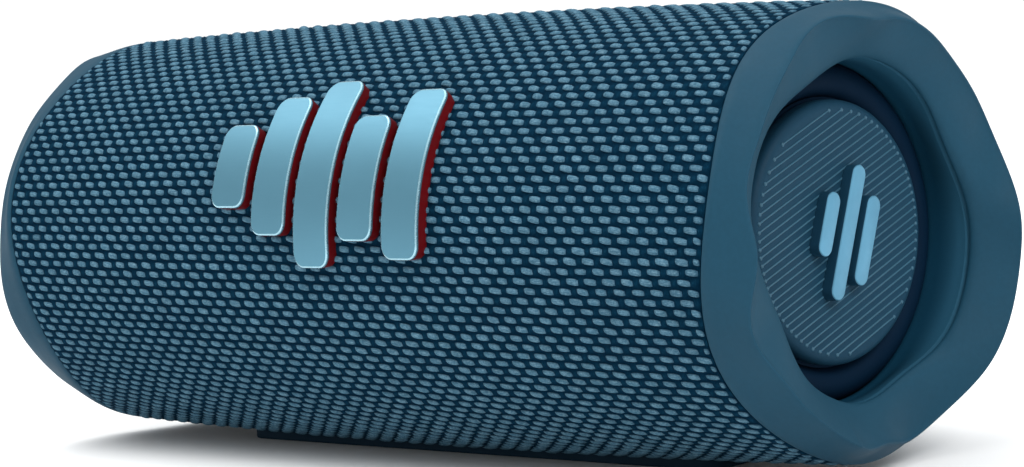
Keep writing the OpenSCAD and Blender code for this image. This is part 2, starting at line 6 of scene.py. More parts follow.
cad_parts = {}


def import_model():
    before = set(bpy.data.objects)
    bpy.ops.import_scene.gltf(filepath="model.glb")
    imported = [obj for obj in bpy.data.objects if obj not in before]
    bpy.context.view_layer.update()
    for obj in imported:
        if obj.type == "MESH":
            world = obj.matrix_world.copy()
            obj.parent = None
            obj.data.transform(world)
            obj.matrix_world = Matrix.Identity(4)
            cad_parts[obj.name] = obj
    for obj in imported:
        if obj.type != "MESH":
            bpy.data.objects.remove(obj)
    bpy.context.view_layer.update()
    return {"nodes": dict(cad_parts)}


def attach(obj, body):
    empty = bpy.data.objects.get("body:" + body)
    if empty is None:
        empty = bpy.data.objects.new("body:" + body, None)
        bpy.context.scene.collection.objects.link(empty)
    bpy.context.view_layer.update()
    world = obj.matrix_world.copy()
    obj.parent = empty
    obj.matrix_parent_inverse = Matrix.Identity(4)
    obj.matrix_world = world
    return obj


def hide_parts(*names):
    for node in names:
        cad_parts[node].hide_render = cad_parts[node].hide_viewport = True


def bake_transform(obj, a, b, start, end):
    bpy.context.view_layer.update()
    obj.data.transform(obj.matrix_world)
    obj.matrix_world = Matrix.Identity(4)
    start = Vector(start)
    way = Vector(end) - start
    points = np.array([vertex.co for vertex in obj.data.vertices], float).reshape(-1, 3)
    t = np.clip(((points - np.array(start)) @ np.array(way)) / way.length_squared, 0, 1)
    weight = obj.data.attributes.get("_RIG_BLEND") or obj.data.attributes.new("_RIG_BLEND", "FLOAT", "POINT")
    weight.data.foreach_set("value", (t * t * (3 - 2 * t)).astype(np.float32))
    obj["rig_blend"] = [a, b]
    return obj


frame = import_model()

RNG = np.random.default_rng(7)

# ------------------------------------------------------------------ frame of the barrel
# Most pieces are laid out in millimetres in the barrel's own frame (axis on X, badge on -Y),
# then tipped back and lifted on the foot, exactly as part.scad does.
AXIS_H, TIP = 36.4, 22.0
CT, ST = math.cos(math.radians(TIP)), math.sin(math.radians(TIP))
SLEEVE_R, END_R, EDGE_X, EDGE_W, RIM_W, RECESS_R, LOBES = 35.6, 34.6, 80.6, 1.5, 1.2, 27.0, 4
HALF_L = 89.0
DISC_R, DISC_X = 19.9, 78.4


def world(p):
    p = np.asarray(p, float)
    x, y, z = p[..., 0], p[..., 1], p[..., 2]
    return np.stack([x, y * CT + z * ST, -y * ST + z * CT + AXIS_H], -1) * 0.001


def cyl(x, r, t):
    """Point at x along the barrel, radius r, angle t in degrees from the badge (front) towards the buttons (top)."""
    x, r, t = np.broadcast_arrays(np.asarray(x, float), np.asarray(r, float), np.asarray(t, float))
    a = np.radians(t)
    return np.stack([x, -r * np.cos(a), r * np.sin(a)], -1)


# ------------------------------------------------------------------ node-material helpers
def srgb(r, g, b):
    f = lambda c: (c / 255) / 12.92 if c <= 10.3 else (((c / 255) + 0.055) / 1.055) ** 2.4
    return (f(r), f(g), f(b), 1.0)


class Mat:
    """A small wrapper that keeps node graphs readable."""

    def __init__(self, name):
        self.m = bpy.data.materials.new(name)
        self.m.use_nodes = True
        self.t = self.m.node_tree
        self.bsdf = next(n for n in self.t.nodes if n.type == "BSDF_PRINCIPLED")
        self._bump = None
        self.m.diffuse_color = (0.2, 0.3, 0.4, 1)

    def n(self, kind, **props):
        node = self.t.nodes.new(kind)
        for k, v in props.items():
            setattr(node, k, v)
        return node

    def link(self, a, b):
        self.t.links.new(a, b)

    def set(self, **kw):
        for k, v in kw.items():
            self.bsdf.inputs[k.replace("_", " ")].default_value = v
        return self

    def coords(self, attribute=None, scale=(1, 1, 1), rot=(0, 0, 0)):
        if attribute:
            src = self.n("ShaderNodeAttribute", attribute_name=attribute).outputs["Vector"]
        else:
            src = self.n("ShaderNodeTexCoord").outputs["Object"]
        m = self.n("ShaderNodeMapping")
        m.inputs["Scale"].default_value = scale
        m.inputs["Rotation"].default_value = rot
        self.link(src, m.inputs["Vector"])
        return m.outputs["Vector"]

    def noise(self, vec, scale, detail=3.0, rough=0.55, distortion=0.0):
        n = self.n("ShaderNodeTexNoise")
        n.inputs["Scale"].default_value = scale
        n.inputs["Detail"].default_value = detail
        n.inputs["Roughness"].default_value = rough
        n.inputs["Distortion"].default_value = distortion
        self.link(vec, n.inputs["Vector"])
        return n.outputs["Fac"]

    def ramp(self, fac, stops, interp="LINEAR"):
        n = self.n("ShaderNodeValToRGB")
        n.color_ramp.interpolation = interp
        e = n.color_ramp.elements
        while len(e) < len(stops):
            e.new(0.5)
        for i, (p, c) in enumerate(stops):
            e[i].position = p
            e[i].color = c if len(c) == 4 else (*c, 1)
        self.link(fac, n.inputs["Fac"])
        return n.outputs["Color"]

    def rng(self, fac, a0, a1, b0, b1):
        n = self.n("ShaderNodeMapRange")
        for i, v in zip(("From Min", "From Max", "To Min", "To Max"), (a0, a1, b0, b1)):
            n.inputs[i].default_value = v
        self.link(fac, n.inputs["Value"])
        return n.outputs["Result"]

    def math(self, op, a, b):
        n = self.n("ShaderNodeMath", operation=op)
        for s, v in zip(n.inputs, (a, b)):
            if isinstance(v, (int, float)):
                s.default_value = v
            else:
                self.link(v, s)
        return n.outputs[0]

    def mix(self, fac, a, b):
        n = self.n("ShaderNodeMix", data_type="RGBA")
        for s, v in ((n.inputs[0], fac), (n.inputs[6], a), (n.inputs[7], b)):
            if isinstance(v, (int, float)):
                s.default_value = v
            elif isinstance(v, tuple):
                s.default_value = v
            else:
                self.link(v, s)
        return n.outputs[2]

    def bump(self, height, strength, distance):
        n = self.n("ShaderNodeBump")
        n.inputs["Strength"].default_value = strength
        n.inputs["Distance"].default_value = distance
        self.link(height, n.inputs["Height"])
        if self._bump is not None:
            self.link(self._bump, n.inputs["Normal"])
        self._bump = n.outputs["Normal"]
        self.link(self._bump, self.bsdf.inputs["Normal"])

    def to(self, out, socket):
        self.link(out, self.bsdf.inputs[socket])


def scale_col(c, k):
    return (min(1, c[0] * k), min(1, c[1] * k), min(1, c[2] * k), 1.0)


def rubber(name, col, rough=0.62, var=0.10, grain=0.5, spec=0.4, sheen=0.0):
    """Soft-touch rubber: faint cloudy tone, fine grain in the surface, uneven gloss, slightly paler worn spots."""
    m = Mat(name)
    v = m.coords()
    big = m.noise(v, 45, 3, 0.6)
    fine = m.noise(v, 1400, 2, 0.6)
    c = m.ramp(big, [(0.30, scale_col(col, 1 - var)), (0.70, scale_col(col, 1 + var))])
    speck = m.ramp(fine, [(0.35, scale_col(col, 0.9)), (0.65, scale_col(col, 1.08))])
    m.to(m.mix(0.35, c, speck), "Base Color")
    m.to(m.rng(m.noise(v, 120, 4, 0.6), 0.3, 0.7, rough - 0.06, rough + 0.07), "Roughness")
    m.bump(fine, grain, 0.00003)
    m.bump(m.noise(v, 260, 3, 0.5), 0.25, 0.00004)
    m.set(Specular_IOR_Level=spec)
    if sheen:
        m.set(Sheen_Weight=sheen, Sheen_Roughness=0.5)
        m.bsdf.inputs["Sheen Tint"].default_value = scale_col(col, 2.5)
    return m


def plastic(name, col, rough=0.45, grain=900, strength=0.35, spec=0.5):
    m = Mat(name)
    v = m.coords()
    n1 = m.noise(v, 60, 3, 0.6)
    n2 = m.noise(v, grain, 2, 0.5)
    m.to(m.ramp(n1, [(0.3, scale_col(col, 0.9)), (0.7, scale_col(col, 1.1))]), "Base Color")
    m.to(m.rng(n1, 0.3, 0.7, rough - 0.05, rough + 0.06), "Roughness")
    m.bump(n2, strength, 0.00003)
    m.set(Specular_IOR_Level=spec)
    return m


def metal(name, col, rough=0.3, brushed=(1, 1, 1), metallic=1.0, lines=900, strength=0.15):
    m = Mat(name)
    v = m.coords(scale=brushed)
    n1 = m.noise(v, lines, 3, 0.6)
    n2 = m.noise(m.coords(), 80, 3, 0.6)
    m.to(m.ramp(n2, [(0.3, scale_col(col, 0.9)), (0.7, scale_col(col, 1.08))]), "Base Color")
    m.to(m.rng(n1, 0.3, 0.7, rough - 0.07, rough + 0.09), "Roughness")
    m.bump(n1, strength, 0.00002)
    m.set(Metallic=metallic)
    return m


# ------------------------------------------------------------------ materials
mat_cap = rubber("soft_touch_rubber", srgb(22, 61, 80), rough=0.62, var=0.05, grain=0.3, spec=0.12)
# painted shade: the recess liner is a darker copy of the cap's rubber
mat_recess_painted_shade = rubber("recess_rubber_painted_shade", srgb(11, 52, 73), rough=0.7, var=0.05, grain=0.3, spec=0.08)
# painted shade: the liner's colour runs from a pale tone at the rim down to a dark tone by the radiator, where the
# recess lies in shade
liner = mat_recess_painted_shade.n("ShaderNodeSeparateXYZ")
mat_recess_painted_shade.link(mat_recess_painted_shade.coords(), liner.inputs[0])
liner_shade_ramp = mat_recess_painted_shade.rng(mat_recess_painted_shade.math("ABSOLUTE", liner.outputs[0], 0), 0.0768, 0.0856, 0.0, 1.0)
painted_shade_col = mat_recess_painted_shade.bsdf.inputs["Base Color"].links[0].from_socket
mat_recess_painted_shade.to(mat_recess_painted_shade.mix(liner_shade_ramp, painted_shade_col, srgb(45, 90, 112)), "Base Color")
mat_disc = rubber("ribbed_rubber", srgb(19, 52, 71), rough=0.60, var=0.05, grain=0.25, spec=0.10)
# painted highlight: the ribs and their pips are a paler, glossier copy of the disc's rubber, standing in for the light
# on their crests
mat_rib_painted_highlight = rubber("rib_rubber_painted_highlight", srgb(44, 84, 104), rough=0.42, var=0.05, grain=0.2, spec=0.35)
# painted shade: the roll's near-black blue stands in for the shade in the gap round the radiator disc; the woofer's
# roll shares this material
mat_surround_painted_shade = rubber("surround_rubber", srgb(2, 24, 43), rough=0.70, var=0.08, grain=0.3, spec=0.06)
mat_foot = rubber("foot_rubber", srgb(16, 40, 56), rough=0.75, var=0.08, grain=0.6, spec=0.12)
mat_button = rubber("button_rubber", srgb(44, 82, 102), rough=0.55, var=0.05, grain=0.3, spec=0.2)
mat_button_base = rubber("button_base_rubber", srgb(22, 52, 72), rough=0.65, var=0.06, grain=0.4, spec=0.12)


def cloth_material(name, dark, light, painted_shade_col, fibre_dir, twist=0.0, low=0.0, high=1.0):
    """One yarn colour. wv holds x and arc position in millimetres and the height above the ground."""
    m = Mat(name)
    sx, sy = (0.45, 5.0) if fibre_dir == "x" else (5.0, 0.45)
    fibres = m.noise(m.coords("wv", (sx, sy, 1), (0, 0, twist)), 2.4, 3, 0.7, 0.4)
    mottle = m.noise(m.coords("wv", (1, 1, 1)), 2.6, 3, 0.65)
    patch = m.noise(m.coords("wv", (1, 1, 1)), 0.33, 3, 0.6)
    c = m.ramp(m.math("ADD", m.math("MULTIPLY", fibres, 0.6), m.math("MULTIPLY", mottle, 0.4)), [(0.32, scale_col(dark, 0.8)), (0.46, dark), (0.68, light)])
    tone = m.rng(patch, 0.3, 0.7, 0.86, 1.13)
    h = m.n("ShaderNodeVectorMath", operation="SCALE")
    m.link(c, h.inputs[0])
    m.link(tone, h.inputs["Scale"])
    # painted shade: each yarn is mixed towards its shade colour where it lies low and dives under its neighbours
    z = m.n("ShaderNodeSeparateXYZ")
    m.link(m.n("ShaderNodeAttribute", attribute_name="wv").outputs["Vector"], z.inputs[0])
    m.to(m.mix(m.rng(z.outputs["Z"], low, high, 0.0, 1.0), painted_shade_col, h.outputs[0]), "Base Color")
    m.bump(fibres, 0.7, 0.00009)
    m.bump(mottle, 0.35, 0.00008)
    m.set(Roughness=0.9, Specular_IOR_Level=0.02)
    return m


# the third colour of each yarn is its painted shade low in the weave
mat_float = cloth_material("yarn_light", srgb(60, 96, 116), srgb(112, 144, 161), srgb(6, 40, 60), "x", 0.35, 0.05, 0.95)
mat_ground = cloth_material("yarn_dark", srgb(3, 38, 59), srgb(20, 62, 83), srgb(0, 19, 35), "t")


def badge_metal():
    m = Mat("satin_blue_metal")
    n2 = m.noise(m.coords(), 40, 3, 0.6)
    hair = m.noise(m.coords(scale=(1, 14, 14)), 220, 3, 0.6)
    col = srgb(84, 132, 152)
    m.to(m.ramp(n2, [(0.3, scale_col(col, 0.97)), (0.7, scale_col(col, 1.03))]), "Base Color")
    m.to(m.rng(hair, 0.3, 0.7, 0.36, 0.44), "Roughness")
    m.bump(hair, 0.04, 0.00002)
    m.set(Metallic=0.75, Specular_IOR_Level=0.5)
    return m


mat_badge = badge_metal()
mat_badge_edge = metal("polished_bevel", srgb(150, 190, 204), 0.25, metallic=0.8, strength=0.03)
mat_red = metal("dark_red_lacquer", srgb(84, 3, 8), 0.45, metallic=0.0, strength=0.05)
mat_red.set(Specular_IOR_Level=0.2)
mat_emblem = metal("satin_pale_blue", srgb(84, 140, 168), 0.40, metallic=0.45, strength=0.04)
mat_emblem_side = plastic("emblem_side", srgb(16, 52, 72), 0.6, spec=0.15)
mat_screw = metal("zinc_screw", srgb(170, 170, 172), 0.3, (1, 1, 12))
mat_steel = metal("turned_steel", srgb(140, 142, 146), 0.35, (1, 14, 14))
mat_magnet = metal("nickel_magnet", srgb(110, 112, 116), 0.28)
mat_dome = metal("anodised_dome", srgb(150, 156, 166), 0.25)
mat_copper = metal("enamelled_copper", srgb(186, 110, 64), 0.3, (40, 1, 1), lines=60, strength=0.5)
mat_brass = metal("sprung_brass", srgb(206, 178, 104), 0.25)
mat_plated = metal("plated_steel", srgb(186, 188, 192), 0.22)
mat_inner = plastic("moulded_abs_dark", srgb(40, 42, 46), 0.5, 700, 0.5)
mat_box = plastic("moulded_abs_grey", srgb(62, 66, 72), 0.48, 600, 0.5)
mat_foam = plastic("cell_foam", srgb(26, 26, 27), 0.9, 2600, 0.9, 0.2)
mat_lens = plastic("frosted_light_pipe", srgb(214, 226, 230), 0.35, 1200, 0.2)
mat_lens.set(Transmission_Weight=0.0)


def cone_paper():
    m = plastic("pressed_pulp", srgb(48, 49, 52), 0.75, 500, 0.8, 0.25)
    f = m.noise(m.coords(scale=(1, 3, 1)), 900, 4, 0.7)
    m.bump(f, 0.5, 0.00006)
    return m


def spider_cloth():
    m = plastic("resin_cotton", srgb(196, 166, 104), 0.8, 500, 0.3, 0.2)
    a = m.n("ShaderNodeTexWave", wave_type="BANDS", bands_direction="X")
    a.inputs["Scale"].default_value = 420
    m.link(m.coords(), a.inputs["Vector"])
    b = m.n("ShaderNodeTexWave", wave_type="BANDS", bands_direction="Z")
    b.inputs["Scale"].default_value = 420
    m.link(m.coords(), b.inputs["Vector"])
    m.bump(m.math("ADD", a.outputs["Fac"], b.outputs["Fac"]), 0.6, 0.00008)
    return m


def board_green():
    m = Mat("solder_mask")
    v = m.coords()
    t = m.n("ShaderNodeTexBrick")
    t.inputs["Scale"].default_value = 260
    t.inputs["Mortar Size"].default_value = 0.012
    t.inputs["Color1"].default_value = srgb(12, 92, 60)
    t.inputs["Color2"].default_value = srgb(10, 84, 54)
    t.inputs["Mortar"].default_value = srgb(40, 128, 84)
    m.link(v, t.inputs["Vector"])
    dots = m.n("ShaderNodeTexVoronoi", feature="DISTANCE_TO_EDGE")
    dots.inputs["Scale"].default_value = 500
    m.link(v, dots.inputs["Vector"])
    m.to(t.outputs["Color"], "Base Color")
    m.bump(dots.outputs["Distance"], 0.2, 0.00004)
    m.set(Roughness=0.32)
    return m


def cell_wrap():
    m = plastic("shrink_wrap", srgb(30, 116, 98), 0.3, 300, 0.4)
    w = m.noise(m.coords(scale=(0.2, 1, 1)), 180, 3, 0.6)
    m.bump(w, 0.3, 0.0001)
    return m


mat_cone, mat_spider, mat_pcb, mat_wrap = cone_paper(), spider_cloth(), board_green(), cell_wrap()
mat_chip = plastic("epoxy_black", srgb(28, 28, 30), 0.4, 1500, 0.3)


# ------------------------------------------------------------------ mesh helpers
def mesh(name, verts, faces, mats, smooth=True, face_mat=None, wv=None, tilt=True):
    """verts in barrel millimetres (tilt=True) or world millimetres."""
    v = world(verts) if tilt else np.asarray(verts, float) * 0.001
    me = bpy.data.meshes.new(name)
    if isinstance(faces, np.ndarray):
        k = faces.shape[1]
        me.vertices.add(len(v))
        me.vertices.foreach_set("co", v.astype(np.float32).ravel())
        me.loops.add(faces.size)
        me.loops.foreach_set("vertex_index", faces.astype(np.int32).ravel())
        me.polygons.add(len(faces))
        me.polygons.foreach_set("loop_start", np.arange(0, faces.size, k, dtype=np.int32))
        me.polygons.foreach_set("loop_total", np.full(len(faces), k, np.int32))
        me.update(calc_edges=True)
        me.validate()
    else:
        me.from_pydata([tuple(p) for p in v], [], [tuple(int(i) for i in f) for f in faces])
        me.validate()
        me.update()
    for m in mats if isinstance(mats, (list, tuple)) else [mats]:
        me.materials.append(m.m)
    me.polygons.foreach_set("use_smooth", np.full(len(me.polygons), bool(smooth)))
    if face_mat is not None:
        me.polygons.foreach_set("material_index", np.asarray(face_mat, np.int32))
    if wv is not None:
        a = me.attributes.new("wv", "FLOAT_VECTOR", "POINT")
        a.data.foreach_set("vector", np.asarray(wv, np.float32).ravel())
    o = bpy.data.objects.new(name, me)
    bpy.context.scene.collection.objects.link(o)
    return o


def grid_faces(n, m, wrap_n=False, wrap_m=False, flip=False):
    i = np.arange(n if wrap_n else n - 1)
    j = np.arange(m if wrap_m else m - 1)
    I, J = np.meshgrid(i, j, indexing="ij")
    I2, J2 = (I + 1) % n, (J + 1) % m
    f = np.stack([I * m + J, I * m + J2, I2 * m + J2, I2 * m + J], -1).reshape(-1, 4)
    return f[:, ::-1].copy() if flip else f


def place(o, body, slot, *nodes):
    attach(o, body)
    if nodes:
        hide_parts(*nodes)
    return o


def recalc(o):
    import bmesh
    b = bmesh.new()
    b.from_mesh(o.data)
    bmesh.ops.recalc_face_normals(b, faces=b.faces)
    b.to_mesh(o.data)
    b.free()
    o.data.update()
    return o


def sharp(o, angle=35):
    """Smooth shading except across edges sharper than angle."""
    import bmesh
    b = bmesh.new()
    b.from_mesh(o.data)
    lim = math.radians(angle)
    for e in b.edges:
        e.smooth = not (len(e.link_faces) == 2 and e.calc_face_angle(0) > lim)
    for f in b.faces:
        f.smooth = True
    b.to_mesh(o.data)
    b.free()
    return o


# ------------------------------------------------------------------ wavy end caps
def cosd(a):
    return np.cos(np.radians(a))


def sind(a):
    return np.sin(np.radians(a))


def wave(t):
    return cosd(LOBES * t) - 0.29 * cosd(2 * LOBES * t)


def drift(t):
    return cosd(t) - 0.48 * sind(t) + 0.56 * cosd(2 * t) - 0.84 * sind(2 * t) - 1.37 * cosd(3 * t) - 0.26 * cosd(6 * t) + 0.13 * sind(6 * t)


def ripple(t):
    return 0.6 * (0.12 * cosd(t) - 0.11 * sind(t) - 0.34 * cosd(2 * t) + 0.24 * sind(2 * t) - 0.3 * cosd(3 * t) + 0.6 * sind(3 * t) - 0.69 * sind(5 * t)
            - 0.09 * cosd(6 * t) - 0.29 * sind(6 * t) + 0.3 * cosd(7 * t) + 0.28 * sind(7 * t) - 0.17 * cosd(8 * t) - 0.33 * cosd(10 * t) - 0.11 * sind(10 * t)
            + 0.19 * cosd(12 * t) + 0.39 * sind(12 * t))


def swell(t):
    return 0.6 * (0.19 * sind(4 * t) + 0.52 * cosd(8 * t) + 0.27 * sind(8 * t) - 0.39 * sind(12 * t))


def edge(t):
    return EDGE_X + EDGE_W * cosd(LOBES * (np.asarray(t, float) + 4))


def cap_controls(t):
    """Control points of the rim's section, from the cloth over the crest to the inner lip."""
    w, g, k, q, xb = wave(t), drift(t), ripple(t), swell(t), edge(t)
    one = np.ones_like(w)
    xo, ro = HALF_L - 5.2 + 0.65 * w + 0.6 * (g + k), END_R - 0.95 - 0.25 * w + 0.4 * q
    xc, rc = np.minimum(HALF_L + 0.55, HALF_L - 1.85 + RIM_W * w + g + k), 30.8 - 0.68 * w + q
    xi = 82.4 + 0.12 * w + 0.2 * cosd(2 * t + 50) + 0.2 * g
    ri = 25.3 + 0.8 * w + 0.45 * sind(t - 30) + 0.4 * cosd(2 * t - 30)
    return [(xb, (END_R - 0.3) * one), (xb + 0.7, (END_R + 0.02) * one), (xo, ro), (xc, rc + 1.68), (xc - 0.8, rc + 1.0), (xi + 1.6 + 0.3 * g, ri + 1.5),
            (xi, ri - 0.1), (xi - 0.5, ri + 0.05)], xi, ri


def smooth_line(K, q):
    K = [np.stack(k, -1) for k in K]
    out = [K[0]]
    for i in range(1, len(K) - 1):
        a = K[0] if i == 1 else (K[i - 1] + K[i]) / 2
        c = K[-1] if i == len(K) - 2 else (K[i] + K[i + 1]) / 2
        for j in range(1, q + 1):
            u = j / q
            out.append((1 - u) ** 2 * a + 2 * u * (1 - u) * K[i] + u * u * c)
    return out


def make_cap(side, name, node):
    n = 480
    t = np.arange(n) * 360 / n
    one = np.ones(n)
    K, xi, ri = cap_controls(t)
    line = smooth_line(K, 7)
    at = lambda x, r: np.stack([x * one, r * one], -1)
    # a short skirt tucks the rubber under the cloth
    line = [at(edge(t) - 0.1, END_R - 0.42), at(edge(t) - 0.02, END_R - 0.34)] + line
    outer = len(line)
    # a fine step parts the rim from the recess liner, then the liner runs down to the radiator
    line += [at(xi - 0.62, ri + 0.42), at(xi - 0.92, ri + 0.55), at(xi - 1.16, ri + 0.42), at(xi - 1.3, ri + 0.16)]
    wall = smooth_line([((xi - 1.36), ri + 0.1), (xi - 1.8, ri + 0.08), (xi - 3.4, 0.5 * (ri + 25.6)), (76.2 * one, 25.9 * one), (74.1 * one, 25.6 * one), (73.7 * one, 26.2 * one)], 6)
    line += wall
    line += [at(73.7, RECESS_R), at(73.7, 33), at(78.5, 33), at(78.5, 34.15)]
    S = np.stack(line, 1)  # n, m, 2
    m = S.shape[1]
    V = cyl(side * S[..., 0], S[..., 1], t[:, None]).reshape(-1, 3)
    F = grid_faces(n, m, True, True, flip=side < 0)
    seg = np.minimum(F % m, 10 ** 6).min(1)
    ring = np.tile(np.arange(m), n)
    fm = np.where((np.arange(len(F)) % m >= outer - 1) & (np.arange(len(F)) % m < outer + 3 + len(wall)), 1, 0)
    o = mesh(name, V, F, [mat_cap, mat_recess_painted_shade], face_mat=fm)
    recalc(o)
    sharp(o, 42)
    return place(o, "housing", "cap_rubber", node)


make_cap(1, "right_cap_rubber", "end_cap_right")
make_cap(-1, "left_cap_rubber", "end_cap_left")


# ------------------------------------------------------------------ woven sleeve
ROWS, PITCH_X = 144, 3.6            # floats every 3.6 mm along a row, 144 rows round the barrel
FLOAT_L, FLOAT_W, FLOAT_H = 2.66, 1.16, 0.42


def float_h(x):
    return FLOAT_H - 0.10 * (np.abs(x) / 81.0) ** 4


def ground_r(x, t=None):
    """Radius of the cloth's valleys: a slight barrel, drawn in towards the caps."""
    r = 35.40 - 1.10 * (x / 81.0) ** 2
    if t is not None:
        gap = edge(t) - np.abs(x)
        r = r - 0.12 * np.clip(1 - gap / 1.4, 0, 1) ** 2
    return r


def rounded_box(px, py, bx, by, r):
    qx, qy = np.abs(px) - (bx - r), np.abs(py) - (by - r)
    return np.hypot(np.maximum(qx, 0), np.maximum(qy, 0)) + np.minimum(np.maximum(qx, qy), 0) - r


def open_at(x, t):
    """Distance from a point of the cloth to its nearest opening's edge in mm, negative inside one."""
    x, t = np.broadcast_arrays(np.asarray(x, float), np.asarray(t, float))
    d = np.full(x.shape, 99.0)
    for k in range(4):
        arc = np.radians((t - 90.0 + 180) % 360 - 180) * SLEEVE_R
        d = np.minimum(d, np.hypot(x - (k - 1.5) * 18.0, arc) - 5.1)
    arc = np.radians((t % 360) - 180) * SLEEVE_R
    return np.minimum(d, rounded_box(x, arc, 11.9, 17.1, 3.0))


def make_ground():
    nx = int(round(2 * 81.4 / 0.6)) + 1
    nt = ROWS * 2
    t = np.arange(nt) * 360 / nt
    u = np.linspace(-1, 1, nx)
    T, U = np.meshgrid(t, u, indexing="ij")
    X = U * (edge(T) - 0.13)
    # the grid is drawn onto the outline of each opening, so that the cut edge is clean
    T = T.copy()
    for _ in range(3):
        e = 0.02
        d = open_at(X, T)
        gx = (open_at(X + e, T) - open_at(X - e, T)) / (2 * e)
        dt = np.degrees(e / SLEEVE_R)
        ga = (open_at(X, T + dt) - open_at(X, T - dt)) / (2 * e)
        near = (np.abs(d) < 0.42) & (np.hypot(gx, ga) > 0.5)
        X = np.where(near, X - d * gx, X)
        T = np.where(near, T - np.degrees(d * ga / SLEEVE_R), T)
    row = T / 360 * ROWS
    # crossing yarns stand up between the floats of each row and dip under the floats
    phase = (X / PITCH_X + 0.5 * (np.round(row - 0.001) % 2)) * 2 * np.pi
    on_row = np.abs(row - np.round(row)) < 0.3
    gap = 0.5 - 0.5 * np.cos(phase)     # 1 between floats, 0 under them
    lift = np.where(on_row, 0.26 * gap ** 1.5 - 0.04, 0.05)
    R = ground_r(X, T) + lift
    V = cyl(X, R, T)
    # painted shade: the height above the ground goes into wv, and the yarn material darkens the cloth where it is low
    hgt = np.clip((lift + 0.04) / 0.3, 0, 1)
    W = np.stack([X, np.radians(T) * SLEEVE_R, hgt], -1)
    # the cloth turns in at both caps as a hem
    Vi = cyl(X[:, [0, -1]], np.full((nt, 2), 34.2), T[:, [0, -1]])
    V = np.concatenate([Vi[:, :1], V, Vi[:, 1:]], 1)
    # the hem gets height 0 and so the full painted shade
    W = np.concatenate([W[:, :1] * [1, 1, 0], W, W[:, -1:] * [1, 1, 0]], 1)
    m = nx + 2
    F = grid_faces(nt, m, True, False)
    # leave the openings for the buttons and the rear panel
    D = np.full((nt, m), 9.0)
    D[:, 1:-1] = open_at(X, T)
    F = F[~(D.ravel()[F] < 0.02).all(1)]
    o = mesh("sleeve_ground_cloth", V.reshape(-1, 3), F, mat_ground, wv=W.reshape(-1, 3))
    # and so does the cut edge of each opening
    import bmesh
    b = bmesh.new()
    b.from_mesh(o.data)
    bmesh.ops.delete(b, geom=[v for v in b.verts if not v.link_faces], context="VERTS")
    rim = [e for e in b.edges if e.is_boundary and max(abs(v.co.x) for v in e.verts) < 0.06]
    new = bmesh.ops.extrude_edge_only(b, edges=rim)["geom"]
    wv = b.verts.layers.float_vector["wv"]
    # the cut edge's new ring gets height 0 and so the full painted shade
    for v in (g for g in new if isinstance(g, bmesh.types.BMVert)):
        k = 0.0342 / math.hypot(v.co.y, v.co.z - AXIS_H / 1000)
        v.co.y, v.co.z = v.co.y * k, (v.co.z - AXIS_H / 1000) * k + AXIS_H / 1000
        v[wv].z = 0.0
    bmesh.ops.recalc_face_normals(b, faces=b.faces)
    for f in b.faces:
        f.smooth = True
    b.to_mesh(o.data)
    b.free()
    # the weave faces outwards
    me = o.data
    nrm, cen = np.empty(len(me.polygons) * 3), np.empty(len(me.polygons) * 3)
    me.polygons.foreach_get("normal", nrm)
    me.polygons.foreach_get("center", cen)
    nrm, cen = nrm.reshape(-1, 3), cen.reshape(-1, 3) - [0, 0, AXIS_H / 1000]
    if (nrm[:, 1:] * cen[:, 1:]).sum() < 0:
        me.flip_normals()
    return place(o, "housing", "woven_fabric", "fabric_sleeve")


